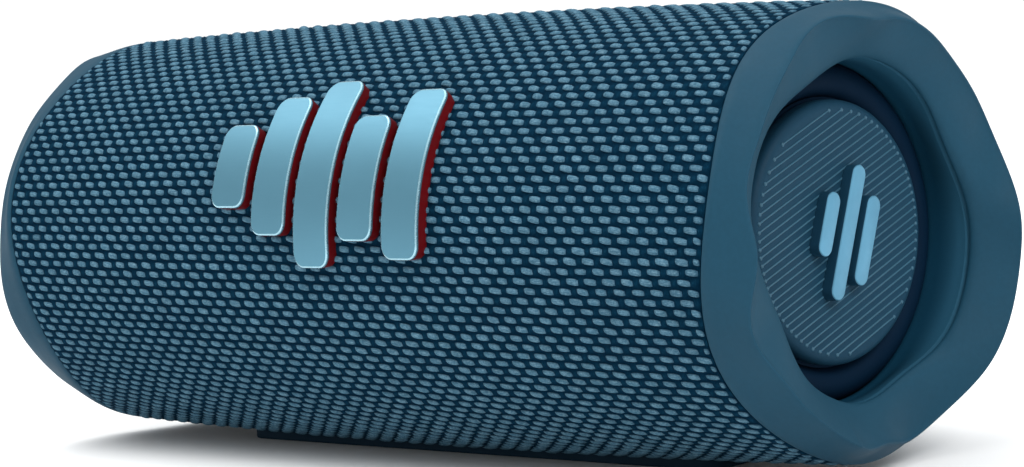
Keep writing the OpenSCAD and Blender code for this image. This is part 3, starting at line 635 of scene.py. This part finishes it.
def make_floats(name, k):
    """Every light yarn float on the rows k, each a closed rounded bar that dives in at both ends."""
    c0 = np.arange(-24, 25) * PITCH_X
    K, C = np.meshgrid(k, c0, indexing="ij")
    C = C + 0.5 * PITCH_X * (K % 2)
    T = K * 360 / ROWS
    C, T = C.ravel(), T.ravel()
    jit = RNG.normal(0, 1, (4, len(C)))
    C = C + jit[0] * 0.05
    L = FLOAT_L * (1 + 0.05 * jit[1])
    lim = edge(T) - 0.35
    x0, x1 = np.clip(C - L / 2, -lim, lim), np.clip(C + L / 2, -lim, lim)
    keep = (x1 - x0 > 0.7) & (open_at(x0, T) > 0.25) & (open_at(x1, T) > 0.25) & (open_at(C, T) > 0.45)
    C, T, x0, x1, jit = C[keep], T[keep], x0[keep], x1[keep], jit[:, keep]
    n = len(C)
    # stations along the yarn and a half-round section across it
    s = np.array([0.0, 0.09, 0.28, 0.5, 0.72, 0.91, 1.0])
    env = np.array([0.0, 0.58, 0.94, 1.0, 0.94, 0.58, 0.0])
    wid = np.array([0.52, 0.80, 0.97, 1.0, 0.97, 0.80, 0.52])
    a = np.radians([-8, 40, 90, 140, 188])
    X = x0[:, None] + (x1 - x0)[:, None] * s[None]
    Wd = FLOAT_W * (1 + 0.04 * jit[2])[:, None] * wid[None]
    H = float_h(X) * (1 + 0.10 * jit[3])[:, None] * env[None]
    base = ground_r(X, T[:, None]) - 0.02
    prof_w, prof_h = np.cos(a) * 0.5, np.maximum(np.sin(a), -0.2)
    prof_h = np.sign(prof_h) * np.abs(prof_h) ** 0.8
    arc = Wd[..., None] * prof_w[None, None]
    # a slight lean, as twisted yarn has
    arc = arc - (0.30 + 0.08 * jit[3])[:, None, None] * (s - 0.5)[None, :, None]
    rad = base[..., None] + H[..., None] * prof_h[None, None]
    ends = (env < 0.01)
    rad = np.where(ends[None, :, None], base[..., None] - 0.02, rad)
    TT = T[:, None, None] + np.degrees(arc / SLEEVE_R)
    XX = np.broadcast_to(X[..., None], rad.shape)
    V = cyl(XX, rad, TT).reshape(-1, 3)
    ns, na = len(s), len(a)
    # painted shade: the height above the ground goes into wv, so the yarn material darkens each float towards its ends
    hh = np.clip((rad - base[..., None]) / FLOAT_H * 1.5, 0, 1)
    W = np.stack([XX, np.radians(TT) * SLEEVE_R, hh], -1).reshape(-1, 3)
    f = grid_faces(ns, na)
    # underside strip closes the bar
    under = np.array([[i * na + na - 1, i * na, (i + 1) * na, (i + 1) * na + na - 1] for i in range(ns - 1)])
    f = np.concatenate([f, under])
    F = (f[None] + (np.arange(n) * ns * na)[:, None, None]).reshape(-1, 4)
    # the two ends are folded shut: each end ring lies flat on the ground cloth
    e0 = np.array([[4, 3, 1, 0]]); e1 = (ns - 1) * na + np.array([[0, 1, 3, 4]])
    t3 = np.array([[3, 2, 1, 1]])
    F = np.concatenate([F, (e0[None] + (np.arange(n) * ns * na)[:, None, None]).reshape(-1, 4), (e1[None] + (np.arange(n) * ns * na)[:, None, None]).reshape(-1, 4)])
    faces = [tuple(q) for q in F.tolist()]
    tri0 = np.array([3, 2, 1]); tri1 = (ns - 1) * na + np.array([1, 2, 3])
    off = np.arange(n) * ns * na
    faces += [tuple(q) for q in (tri0[None] + off[:, None]).tolist()] + [tuple(q) for q in (tri1[None] + off[:, None]).tolist()]
    o = recalc(mesh(name, V, faces, mat_float, wv=W))
    return place(o, "housing", "woven_fabric")


cloth = make_ground()
third = ROWS // 3
yarns = [make_floats("sleeve_yarn_" + nm, (np.arange(third) + i * third - third // 2) % ROWS) for i, nm in enumerate(("front", "top", "under"))]


# ------------------------------------------------------------------ turned pieces on the barrel's axis
def lathe(name, prof, mats, n=192, side=1, face_mat=None, cut=40):
    """prof is a closed outline of [x, r]; points with r 0 sit on the axis."""
    t = np.arange(n) * 360 / n
    V, idx = [], []
    for x, r in prof:
        if r < 1e-6:
            idx.append([len(V)] * n)
            V.append(cyl(side * x, 0, 0))
        else:
            idx.append(list(range(len(V), len(V) + n)))
            V.extend(cyl(side * x, r, t))
    F, M = [], []
    m = len(prof)
    for a in range(m):
        b = (a + 1) % m
        if prof[a][1] < 1e-6 and prof[b][1] < 1e-6:
            continue
        for i in range(n):
            q = [idx[a][i], idx[b][i], idx[b][(i + 1) % n], idx[a][(i + 1) % n]]
            q = [v for k, v in enumerate(q) if v not in q[:k]]
            F.append(q)
            M.append(face_mat[a] if face_mat else 0)
    o = mesh(name, np.array(V), F, mats, face_mat=M)
    recalc(o)
    sharp(o, cut)
    return o


def add_parts(o, verts, faces, mats_index):
    """Adds closed solids to a piece."""
    import bmesh
    b = bmesh.new()
    b.from_mesh(o.data)
    new = [b.verts.new(tuple(p)) for p in world(verts)]
    for f in faces:
        try:
            q = b.faces.new([new[i] for i in f])
            q.material_index = mats_index
            q.smooth = True
        except ValueError:
            pass
    bmesh.ops.recalc_face_normals(b, faces=b.faces)
    b.to_mesh(o.data)
    b.free()
    return o


def make_disc(side, name, node, body):
    # plate with a softly rounded rim and a flat field that the ribs stand on
    prof = [(75.0, 0), (75.0, 19.6), (75.2, 19.85), (75.6, 19.9), (76.7, 19.9)] + [(76.7 + 1.42 * math.sin(a), 19.9 - 1.42 + 1.42 * math.cos(a)) for a in np.radians([15, 30, 45, 60, 75, 86])] + [(78.12, 18.2), (78.06, 17.6), (78.06, 0)]
    o = lathe(name, prof, [mat_disc, mat_rib_painted_highlight], 256, side, cut=38)
    # ribs cross the disc from low front to high back
    V, F = [], []
    sec = [(-0.14, 0.0), (-0.11, 0.10), (-0.045, 0.18), (0.045, 0.18), (0.11, 0.10), (0.14, 0.0)]
    c, s = math.cos(math.radians(138)), math.sin(math.radians(138))
    for k in range(-15, 16):
        off = k * 1.155
        h = math.sqrt(max(18.3 ** 2 - off ** 2, 0.2))
        st = [(-h, 0.0), (-h + 0.08, 0.7), (-h + 0.25, 1.0), (0, 1.0), (h - 0.25, 1.0), (h - 0.08, 0.7), (h, 0.0)]
        base = len(V)
        for a, e in st:
            for w, z in sec:
                ww = off + w
                f, u = a * c - ww * s, a * s + ww * c
                V.append((side * (78.03 + z * e), -f, u))
        for i in range(len(st) - 1):
            for j in range(len(sec)):
                p, q = base + i * 6 + j, base + i * 6 + (j + 1) % 6
                F.append((p, q, q + 6, p + 6))
        F.append(tuple(base + j for j in range(6)))
        F.append(tuple(base + (len(st) - 1) * 6 + j for j in reversed(range(6))))
        # each rib ends in a small pip
        for a in (-h, h):
            base = len(V)
            for q, (rr, z) in enumerate(((0.34, 0.0), (0.31, 0.2), (0.17, 0.33))):
                for b in np.radians(np.arange(0, 360, 36)):
                    aa, ww = a + rr * math.cos(b), off + rr * math.sin(b)
                    V.append((side * (78.0 + z), -(aa * c - ww * s), aa * s + ww * c))
            for q in range(2):
                for i in range(10):
                    F.append((base + q * 10 + i, base + q * 10 + (i + 1) % 10, base + q * 10 + 10 + (i + 1) % 10, base + q * 10 + 10 + i))
            F.append(tuple(base + i for i in range(10)))
            F.append(tuple(base + 20 + i for i in range(10)))
    # ribs and pips take the paler rib copy: painted highlight
    add_parts(o, V, F, 1)
    sharp(o, 50)
    return place(o, body, "disc_rubber", node)


def make_surround(side, name, node, body):
    arc = lambda r, a0, a1, n: [(73.6 + r * math.sin(math.radians(a)), 22.9 + r * math.cos(math.radians(a))) for a in np.linspace(a0, a1, n)]
    prof = [(73.05, 27.7), (73.62, 27.75), (73.66, 27.6), (73.66, 25.75)] + arc(2.7, 4, 165, 22) + [(74.5, 20.32), (74.92, 20.3), (74.96, 20.1), (74.96, 17.0), (74.25, 17.0), (74.22, 20.0)]
    prof += arc(2.1, 160, 6, 14) + [(73.08, 25.0), (73.05, 25.3)]
    o = lathe(name, prof, [mat_surround_painted_shade], 224, side, cut=60)
    me = o.data
    co = np.empty(len(me.vertices) * 3)
    me.vertices.foreach_get("co", co)
    co = co.reshape(-1, 3) * 1000
    r = np.hypot(co[:, 1], co[:, 2] - AXIS_H)
    x0 = side * 0.0735
    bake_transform(o, "housing", body, start=(x0, 0, AXIS_H / 1000), end=(x0 + side * 0.0015, 0, AXIS_H / 1000))
    u = np.clip((25.6 - r) / (25.6 - 20.4), 0, 1)
    w = u * u * (3 - 2 * u)
    me.attributes["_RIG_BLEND"].data.foreach_set("value", w.astype(np.float32))
    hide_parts(node)
    return o


def capsule_outline(w, h, n=10):
    r = w / 2
    a = np.radians(np.linspace(0, 180, n))
    top = [(r * math.cos(q), h / 2 - r + r * math.sin(q)) for q in a]
    bot = [(-r * math.cos(q), -(h / 2 - r) - r * math.sin(q)) for q in a]
    return top + bot


def inset(outline, d):
    """Moves a counter-clockwise outline inwards by d."""
    P = np.array(outline, float)
    A, B = np.roll(P, 1, 0), np.roll(P, -1, 0)
    e1, e2 = P - A, B - P
    n1 = np.stack([-e1[:, 1], e1[:, 0]], -1)
    n2 = np.stack([-e2[:, 1], e2[:, 0]], -1)
    n1 /= np.maximum(np.linalg.norm(n1, axis=1, keepdims=True), 1e-9)
    n2 /= np.maximum(np.linalg.norm(n2, axis=1, keepdims=True), 1e-9)
    m = n1 + n2
    m /= np.maximum((m * n1).sum(1, keepdims=True), 0.3)
    return P + m * d


def prism(outline, levels, face_mats=None):
    """Closed solid: outline at each (height, inset). Returns vertices (u, v, h), faces and a material for each face."""
    n = len(outline)
    V, F, M = [], [], []
    for h, d in levels:
        V += [(p[0], p[1], h) for p in inset(outline, d)]
    for k in range(len(levels) - 1):
        for i in range(n):
            a, b = k * n + i, k * n + (i + 1) % n
            F.append((a, b, b + n, a + n))
            M.append(face_mats[k] if face_mats else 0)
    F.append(tuple(reversed(range(n))))
    M.append(face_mats[0] if face_mats else 0)
    F.append(tuple((len(levels) - 1) * n + i for i in range(n)))
    M.append(face_mats[-1] if face_mats else 0)
    return np.array(V, float), F, M


def join_solids(name, solids, mats, cut=35):
    """solids: (vertices in barrel mm, faces, material per face)."""
    V, F, M = [], [], []
    for v, f, m in solids:
        o = sum(len(x) for x in V)
        V.append(np.asarray(v, float))
        F += [tuple(i + o for i in q) for q in f]
        M += list(m) if hasattr(m, "__len__") else [m] * len(f)
    ob = mesh(name, np.concatenate(V), F, mats, face_mat=M)
    recalc(ob)
    sharp(ob, cut)
    return ob


def make_emblem(side, name, node, body):
    solids = []
    for c, h in ((-4.6, 10), (0, 21), (4.6, 14)):
        v, f, m = prism(capsule_outline(3.1, h, 14), [(-0.25, 0), (1.25, 0), (1.5, 0.05), (1.64, 0.16), (1.7, 0.34)], [0, 0, 1, 1, 1])
        m = [0 if k < 2 * 28 else 1 for k in range(4 * 28)] + [0, 1]
        v = np.stack([side * (DISC_X + v[:, 2]), v[:, 0] + c, v[:, 1]], -1)
        solids.append((v, f, m))
    o = join_solids(name, solids, [mat_emblem_side, mat_emblem], 30)
    return place(o, body, "emblem_metal", node)


for sd, nm in ((1, "right"), (-1, "left")):
    make_disc(sd, f"radiator_{nm}_ribbed_disc", f"radiator_disc_{nm}", f"radiator_{nm}")
    make_surround(sd, f"radiator_{nm}_roll", f"radiator_surround_{nm}", f"radiator_{nm}")
    make_emblem(sd, f"radiator_{nm}_level_bars", f"radiator_emblem_{nm}", f"radiator_{nm}")


# ------------------------------------------------------------------ front badge
def bar_rings(w, h, rc, n_mid, levels):
    """A rounded bar as rows of stations up its height, so that it can wrap round the barrel."""
    rows = []
    for hgt, d in levels:
        ww, hh, r = w - 2 * d, h - 2 * d, max(rc - d, 0.25)
        a = np.radians(np.linspace(0, 90, 7))
        st = [(-hh / 2 + r - r * math.cos(q), ww / 2 - r + r * math.sin(q)) for q in a]
        st += [(v, ww / 2) for v in np.linspace(-hh / 2 + r, hh / 2 - r, n_mid + 2)[1:-1]]
        st += [(hh / 2 - r + r * math.cos(q), ww / 2 - r + r * math.sin(q)) for q in a[::-1]]
        rows.append([(hw, v, hgt) for v, hw in st] + [(-hw, v, hgt) for v, hw in reversed(st)])
    return rows


def bar_solid(cx, cv, w, h, rc, levels, mats, put):
    rows = bar_rings(w, h, rc, 14, levels)
    n = len(rows[0])
    V = np.array([p for r in rows for p in r], float)
    F, M = [], []
    for k in range(len(rows) - 1):
        for i in range(n):
            a, b = k * n + i, k * n + (i + 1) % n
            F.append((a, b, b + n, a + n))
            M.append(mats[k])
    half = n // 2
    for k, m in ((0, mats[0]), (len(rows) - 1, mats[-1])):
        for i in range(half - 1):
            F.append((k * n + i, k * n + i + 1, k * n + n - 2 - i, k * n + n - 1 - i))
            M.append(m)
    return put(V[:, 0] + cx, V[:, 1] + cv, V[:, 2]), F, M


def on_barrel(u, v, h):
    t = np.degrees(np.arcsin(np.clip(v / 36.6, -1, 1)))
    return cyl(u, SLEEVE_R + h, t)


BARS = [(-20.6, 14, 1.5), (-10.3, 23, 2), (0, 30.4, 0), (10.3, 20, -2.5), (20.6, 27, -0.8)]
back = [bar_solid(1.2 + b[0], b[2] * 0.5, 8.2, b[1], 2.2, [(-0.45, 0), (1.2, 0), (1.4, 0.02)], [0, 0, 0], on_barrel) for b in BARS]
place(join_solids("badge_bars_red_body", back, [mat_red], 40), "housing", "badge_red", "badge_backing")
face = [bar_solid(1.2 + b[0], b[2] * 0.5, 8.2, b[1], 2.2, [(1.41, 0.06), (1.62, 0.06), (1.78, 0.12), (1.9, 0.34)], [0, 1, 1, 0], on_barrel) for b in BARS]
place(join_solids("badge_bars_metal_face", face, [mat_badge, mat_badge_edge], 25), "housing", "badge_metal", "badge_face")


# ------------------------------------------------------------------ buttons
def turned_z(prof, n=64, cx=0.0, up=True):
    """Closed solid turned about +Z of the barrel at x = cx; prof is [r, z] from the axis out and back."""
    V, idx, F = [], [], []
    a = np.radians(np.arange(n) * 360 / n)
    for r, z in prof:
        if r < 1e-6:
            idx.append([len(V)] * n)
            V.append((cx, 0.0, z))
        else:
            idx.append(list(range(len(V), len(V) + n)))
            V += [(cx + r * math.cos(q), r * math.sin(q), z) for q in a]
    for k in range(len(prof) - 1):
        for i in range(n):
            q = [idx[k][i], idx[k][(i + 1) % n], idx[k + 1][(i + 1) % n], idx[k + 1][i]]
            q = [v for j, v in enumerate(q) if v not in q[:j]]
            F.append(tuple(q))
    return np.array(V, float), F


def round_poly(pts, r, n=6):
    """Rounds the corners of a counter-clockwise polygon."""
    out = []
    P = [np.array(p, float) for p in pts]
    for i, p in enumerate(P):
        a, b = P[i - 1], P[(i + 1) % len(P)]
        ua, ub = (a - p) / np.linalg.norm(a - p), (b - p) / np.linalg.norm(b - p)
        half = math.acos(np.clip(ua @ ub, -1, 1)) / 2
        d = min(r / math.tan(half), 0.45 * min(np.linalg.norm(a - p), np.linalg.norm(b - p)))
        s, e = p + ua * d, p + ub * d
        for k in range(n + 1):
            u = k / n
            out.append(tuple((1 - u) ** 2 * s + 2 * u * (1 - u) * p + u * u * e))
    return out


def symbol(kind):
    lv = [(-0.6, 0), (0.62, 0), (0.8, 0.06), (0.9, 0.22)]
    w = 0.85
    if kind == "minus":
        shapes = [round_poly([(-3.8, -w), (3.8, -w), (3.8, w), (-3.8, w)], 0.5)]
    elif kind == "plus":
        shapes = [round_poly([(-3.8, -w), (-w, -w), (-w, -3.8), (w, -3.8), (w, -w), (3.8, -w), (3.8, w), (w, w), (w, 3.8), (-w, 3.8), (-w, w), (-3.8, w)], 0.45)]
    elif kind == "play":
        shapes = [round_poly([(-2.6, -3.6), (3.8, 0), (-2.6, 3.6)], 0.7)]
    else:
        shapes = []
    return [prism(s, lv) for s in shapes]


for k, (kind, node) in enumerate((("party", "party_button"), ("minus", "volume_down_button"), ("plus", "volume_up_button"), ("play", "play_button"))):
    cx = (k - 1.5) * 18.0
    pad, pf = turned_z([(0, 30.6), (5.8, 30.6), (5.8, 31.8), (4.9, 31.8), (4.9, 35.35), (4.82, 35.55), (4.6, 35.68), (4.2, 35.74), (0, 35.78)], 72, cx)
    solids = [(pad, pf, 0)]
    for v, f, _ in symbol(kind):
        solids.append((np.stack([cx + v[:, 0], v[:, 1], SLEEVE_R + v[:, 2]], -1), f, 1))
    if kind == "party":
        ring, rf = turned_z([(3.0, 35.0), (4.1, 35.0), (4.1, 36.2), (4.0, 36.4), (3.8, 36.5), (3.3, 36.5), (3.1, 36.4), (3.0, 36.2), (3.0, 35.0)], 72, cx)
        dot, df = turned_z([(0, 35.0), (1.4, 35.0), (1.4, 36.2), (1.3, 36.42), (1.05, 36.5), (0, 36.5)], 48, cx)
        solids += [(ring, rf, 1), (dot, df, 1)]
    o = join_solids(node.replace("_button", "_key"), solids, [mat_button_base, mat_button], 40)
    import bmesh
    bm = bmesh.new(); bm.from_mesh(o.data); bmesh.ops.remove_doubles(bm, verts=bm.verts, dist=1e-7); bmesh.ops.recalc_face_normals(bm, faces=bm.faces); bm.to_mesh(o.data); bm.free()
    place(o, node, "button_rubber", node)


# ------------------------------------------------------------------ rear panel
def rear(u, v, h):
    """x, arc distance from the panel's middle upwards, height above the sleeve's radius."""
    return cyl(u, SLEEVE_R + h, 180 - np.degrees(v / SLEEVE_R))


def rear_plate():
    """A curved plate with rounded corners; its round and slotted holes are cut from a clean mesh."""
    panel = bar_solid(0, 0, 24.3, 34.6, 3.2, [(-2.2, 0), (0.25, 0), (0.42, 0.12), (0.5, 0.35)], [0, 0, 0, 0], rear)
    o = join_solids("rear_control_panel", [panel], [mat_foot], 35)
    cutters = []

    def cutter(outline, y0=28.0, y1=38.0):
        P = np.array(outline, float)
        n = len(P)
        V = [(p[0], y0, p[1]) for p in P] + [(p[0], y1, p[1]) for p in P]
        F = [(i, (i + 1) % n, n + (i + 1) % n, n + i) for i in range(n)] + [tuple(reversed(range(n))), tuple(range(n, 2 * n))]
        c = recalc(mesh("cutter", np.array(V, float), F, mat_foot, smooth=False))
        cutters.append(c)

    circ = lambda cx, cz, r: [(cx + r * math.cos(a), cz + r * math.sin(a)) for a in np.radians(np.arange(0, 360, 7.5))]
    cutter(circ(0, 11, 3.3))
    cutter(circ(0, 2.5, 3.3))
    cutter(round_poly([(-6.1, -4.1), (6.1, -4.1), (6.1, -2.7), (-6.1, -2.7)], 0.3, 3))
    cutter([(x, z - 10.5) for x, z in (lambda q: [(b, a) for a, b in q])(capsule_outline(3.6, 9.3, 12))])
    for c in cutters:
        md = o.modifiers.new("cut", "BOOLEAN")
        md.operation, md.solver, md.object = "DIFFERENCE", "EXACT", c
    dg = bpy.context.evaluated_depsgraph_get()
    me = bpy.data.meshes.new_from_object(o.evaluated_get(dg))
    o.modifiers.clear()
    o.data = me
    for c in cutters:
        bpy.data.objects.remove(c)
    sharp(o, 30)
    return place(o, "housing", "foot_rubber", "rear_panel")


rear_plate()


def turned_y(prof, cz, n=64):
    v, f = turned_z(prof, n, 0.0)
    return np.stack([v[:, 0], v[:, 2], -v[:, 1] + cz], -1), f


def power_symbol(cz, y):
    """Ring with a gap at the top and a short upright bar."""
    out = []
    a = np.radians(np.linspace(125, 415, 40))
    ro, ri = 1.75, 1.3
    P = [(ro * math.cos(q), ro * math.sin(q)) for q in a] + [(ri * math.cos(q), ri * math.sin(q)) for q in a[::-1]]
    out.append(prism(P, [(-0.3, 0), (0.18, 0), (0.25, 0.08)]))
    out.append(prism(round_poly([(-0.24, 0.5), (0.24, 0.5), (0.24, 2.1), (-0.24, 2.1)], 0.15, 3), [(-0.3, 0), (0.18, 0), (0.25, 0.06)]))
    return [(np.stack([v[:, 0] * -1, y + v[:, 2], v[:, 1] + cz], -1), f, 1) for v, f, _ in out]


def link_symbol(cz, y):
    """Two joined rings, for pairing."""
    out = []
    for c in (-0.75, 0.75):
        a = np.radians(np.arange(0, 360, 10))
        n = len(a)
        V, F = [], []
        for r, h in ((1.15, -0.3), (1.15, 0.2), (0.75, 0.2), (0.75, -0.3)):
            V += [(c + r * math.cos(q), h, r * math.sin(q)) for q in a]
        for k in range(4):
            for i in range(n):
                A, B = k * n + i, k * n + (i + 1) % n
                C, D = ((k + 1) % 4) * n + (i + 1) % n, ((k + 1) % 4) * n + i
                F.append((A, B, C, D))
        v = np.array(V, float)
        out.append((np.stack([v[:, 0], y + v[:, 1], v[:, 2] + cz], -1), F, 1))
    return out


for node, cz, sym in (("power_button", 11.0, power_symbol), ("pairing_button", 2.5, link_symbol)):
    top = math.sqrt(36.5 ** 2 - cz ** 2) - 0.1
    v, f = turned_y([(0, 28.4), (4.2, 28.4), (4.2, 29.5), (3.15, 29.5), (3.15, top - 0.35), (3.05, top - 0.12), (2.8, top - 0.02), (2.3, top), (0, top + 0.05)], cz)
    o = join_solids(node.replace("_button", "_key"), [(v, f, 0)] + sym(cz, top), [mat_button_base, mat_button], 40)
    place(o, node, "button_rubber", node)

# light pipe behind the slot
v, f, m = prism(round_poly([(-6.0, -0.6), (6.0, -0.6), (6.0, 0.6), (-6.0, 0.6)], 0.25, 3), [(31.0, 0), (35.75, 0), (35.88, 0.08)])
place(join_solids("battery_level_light", [(np.stack([v[:, 0], v[:, 2], v[:, 1] - 3.4], -1), f, m)], [mat_lens], 35), "housing", "light_lens", "battery_light")


# ------------------------------------------------------------------ woofer suspension
WOOFER_X, STRAIGHT = -20.0, 17.5


def stadium(r, half, n=48):
    """Loop of points at distance r round a straight of half-length half."""
    a = np.radians(np.linspace(-90, 90, n))
    P = [(half + r * math.cos(q), r * math.sin(q)) for q in a] + [(-half - r * math.cos(q), -r * math.sin(q)) for q in a]
    return P


def suspension(name, node, sec, half, inner, outer, mat):
    """sec: closed section of (distance from the centre line, y). The inner edge follows the voice coil, the outer one the frame."""
    loops = [np.array(stadium(r, half)) for r, _ in sec]
    n, m = len(loops[0]), len(sec)
    V = np.zeros((n, m, 3))
    for j, (r, y) in enumerate(sec):
        V[:, j, 0], V[:, j, 1], V[:, j, 2] = loops[j][:, 0] + WOOFER_X, y, loops[j][:, 1]
    o = recalc(mesh(name, V.reshape(-1, 3), grid_faces(n, m, True, True), mat))
    sharp(o, 50)
    p = [tuple(world((WOOFER_X, y, 0))) for y in (-15.0, -18.0)]
    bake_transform(o, "housing", "woofer_moving", start=p[0], end=p[1])
    r = np.tile(np.array([q[0] for q in sec]), n)
    u = np.clip((outer - r) / (outer - inner), 0, 1)
    o.data.attributes["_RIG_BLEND"].data.foreach_set("value", (u * u * (3 - 2 * u)).astype(np.float32))
    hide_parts(node)
    return o


roll = [(12.45, -21.78), (12.45, -22.12), (13.25, -22.14)]
roll += [(15.4 + 2.08 * math.cos(a), -22.14 - 1.66 * math.sin(a)) for a in np.radians(np.linspace(176, 4, 17))]
roll += [(18.22, -22.13), (18.25, -21.78)]
roll += [(15.4 + 1.72 * math.cos(a), -21.8 - 1.58 * math.sin(a)) for a in np.radians(np.linspace(4, 176, 13))]
suspension("woofer_roll_surround", "woofer_surround", roll, STRAIGHT, 13.3, 17.4, mat_surround_painted_shade)
wave_y = lambda r: -10.8 - 0.22 * math.sin((r - 9.9) / 4.1 * 3 * 2 * math.pi) * (9.9 < r < 14.0)
rs = np.linspace(9.22, 14.58, 40)
disc_sec = [(r, wave_y(r) + 0.14) for r in rs] + [(r, wave_y(r) - 0.14) for r in rs[::-1]]
suspension("woofer_corrugated_spider", "woofer_spider", disc_sec, 0.0, 9.9, 14.0, mat_spider)


# ------------------------------------------------------------------ foot strip
def on_table(u, v, h):
    """u across, v along; h 0 is the flat underside and 1 the side that lies on the sleeve."""
    top = AXIS_H - np.sqrt((35.50 - 1.10 * (v / 81.0) ** 2) ** 2 - u ** 2)
    return np.stack([v, u, np.where(h > 0.95, top, h)], -1)


rows = bar_rings(12.0, 110.0, 3.0, 40, [(0.0, 0.4), (0.1, 0.14), (0.3, 0.0), (0.6, 0.0), (1.0, 0.0)])
nR = len(rows[0])
Vf = np.array([p for r in rows for p in r], float)
Ff = []
for k in range(len(rows) - 1):
    for i in range(nR):
        a, b = k * nR + i, k * nR + (i + 1) % nR
        Ff.append((a, b, b + nR, a + nR))
# both long faces are filled in strips across, with a middle line so that the upper one follows the barrel
half = nR // 2
Vf = Vf.tolist()
for k, h in ((0, 0.0), (len(rows) - 1, 1.0)):
    cols = [[k * nR + i for i in range(half)]]
    for frac in (0.5, 0.0, -0.5):
        cols.append([])
        for i in range(half):
            p = Vf[k * nR + i]
            cols[-1].append(len(Vf))
            Vf.append((p[0] * frac, p[1], h))
    cols.append([k * nR + nR - 1 - i for i in range(half)])
    for c in range(4):
        for i in range(half - 1):
            Ff.append((cols[c][i], cols[c][i + 1], cols[c + 1][i + 1], cols[c + 1][i]))
Vf = np.array(Vf, float)
foot = mesh("foot_strip", on_table(Vf[:, 0], Vf[:, 1], Vf[:, 2]), Ff, mat_foot, tilt=False)
recalc(foot)
sharp(foot, 40)
place(foot, "housing", "foot_rubber", "base_foot")

# ------------------------------------------------------------------ CAD nodes that stay get real finishes
KEEP = {
    "grille_frame": mat_inner, "enclosure_front": mat_box, "enclosure_rear": mat_box, "radiator_frame_left": mat_inner,
    "radiator_frame_right": mat_inner, "woofer_frame": mat_inner, "tweeter_faceplate": mat_inner,
    "radiator_screws_left": mat_screw, "radiator_screws_right": mat_screw, "enclosure_screws": mat_screw,
    "woofer_screws": mat_screw, "tweeter_screws": mat_screw, "board_screws": mat_screw,
    "radiator_weight_left": mat_steel, "radiator_weight_right": mat_steel, "woofer_yoke": mat_steel,
    "woofer_pole_plate": mat_steel, "enclosure_seal": mat_foam, "woofer_gasket": mat_foam, "woofer_cone": mat_cone,
    "woofer_dust_cap": mat_cone, "woofer_voice_coil": mat_copper, "woofer_magnet": mat_magnet,
    "tweeter_magnet": mat_magnet, "tweeter_dome": mat_dome, "battery_cell": mat_wrap, "battery_clips": mat_brass,
    "main_board": mat_pcb, "button_board": mat_pcb, "rear_board": mat_pcb, "main_board_chips": mat_chip,
    "button_switches": mat_plated, "rear_switches": mat_plated, "usb_c_port": mat_plated,
}
for n, m in KEEP.items():
    o = frame["nodes"][n]
    o.data.materials.clear()
    o.data.materials.append(m.m)

# ------------------------------------------------------------------ floor, lights, camera
sc = bpy.context.scene
floor_m = Mat("pale_floor")
fv = floor_m.coords()
floor_m.to(floor_m.ramp(floor_m.noise(fv, 3, 3, 0.5), [(0.3, (0.93, 0.933, 0.937)), (0.7, (0.95, 0.952, 0.955))]), "Base Color")
floor_m.set(Roughness=0.9, Specular_IOR_Level=0.05)
F = 6.0
floor = mesh("floor", np.array([(-F, -F, 0), (F, -F, 0), (F, F, 0), (-F, F, 0)], float) * 1000, [(0, 1, 2, 3)], floor_m, smooth=False, tilt=False)

w = bpy.data.worlds.new("studio")
sc.world = w
w.use_nodes = True
bg = next(n for n in w.node_tree.nodes if n.type == "BACKGROUND")
wn = w.node_tree.nodes
geo, sep, ramp = wn.new("ShaderNodeTexCoord"), wn.new("ShaderNodeSeparateXYZ"), wn.new("ShaderNodeValToRGB")
remap = wn.new("ShaderNodeMapRange")
remap.inputs["From Min"].default_value, remap.inputs["From Max"].default_value = -1.0, 1.0
w.node_tree.links.new(geo.outputs["Generated"], sep.inputs[0])
w.node_tree.links.new(sep.outputs["Z"], remap.inputs["Value"])
w.node_tree.links.new(remap.outputs["Result"], ramp.inputs["Fac"])
w.node_tree.links.new(ramp.outputs["Color"], bg.inputs["Color"])
stops = [(0.0, 0.69), (0.555, 0.69), (0.63, 0.40), (0.78, 0.42), (0.90, 1.0)]
while len(ramp.color_ramp.elements) < len(stops):
    ramp.color_ramp.elements.new(0.5)
for e, (p, v) in zip(ramp.color_ramp.elements, stops):
    e.position, e.color = p, (v * 0.99, v, v, 1)
bg.inputs["Strength"].default_value = 1.52


def area(name, loc, target, size, power, color=(1, 1, 1), size_y=None):
    d = bpy.data.lights.new(name, "AREA")
    d.shape = "RECTANGLE"
    d.size, d.size_y = size, size_y or size
    d.energy, d.color = power, color
    o = bpy.data.objects.new(name, d)
    sc.collection.objects.link(o)
    o.location = loc
    o.rotation_mode = "QUATERNION"
    o.rotation_quaternion = (Vector(target) - Vector(loc)).to_track_quat("-Z", "Y")
    return o


area("key_top_left", (-0.55, -0.35, 1.0), (0, 0, 0.03), 0.9, 8, (1.0, 0.995, 0.98))
area("fill_right", (1.05, -0.25, 0.85), (0.08, 0, 0.04), 0.5, 9, (1, 1, 1))

cam_d = bpy.data.cameras.new("camera")
cam = bpy.data.objects.new("camera", cam_d)
sc.collection.objects.link(cam)
cam_d.sensor_fit, cam_d.sensor_width, cam_d.lens = "HORIZONTAL", 36.0, 116.02
cam_d.clip_start, cam_d.clip_end = 0.01, 50
right = Vector((0.70569, 0.70401, -0.07989)).normalized()
fwd = Vector((-0.70852, 0.70071, -0.08373))
fwd = (fwd - right * fwd.dot(right)).normalized()
up = right.cross(fwd).normalized()
cam.matrix_world = Matrix(((right.x, up.x, -fwd.x, 0.39237), (right.y, up.y, -fwd.y, -0.37923), (right.z, up.z, -fwd.z, 0.08134), (0, 0, 0, 1)))
cam_d.dof.use_dof = False
sc.camera = cam
sc.view_settings.view_transform = "Standard"
sc.view_settings.look = "None"
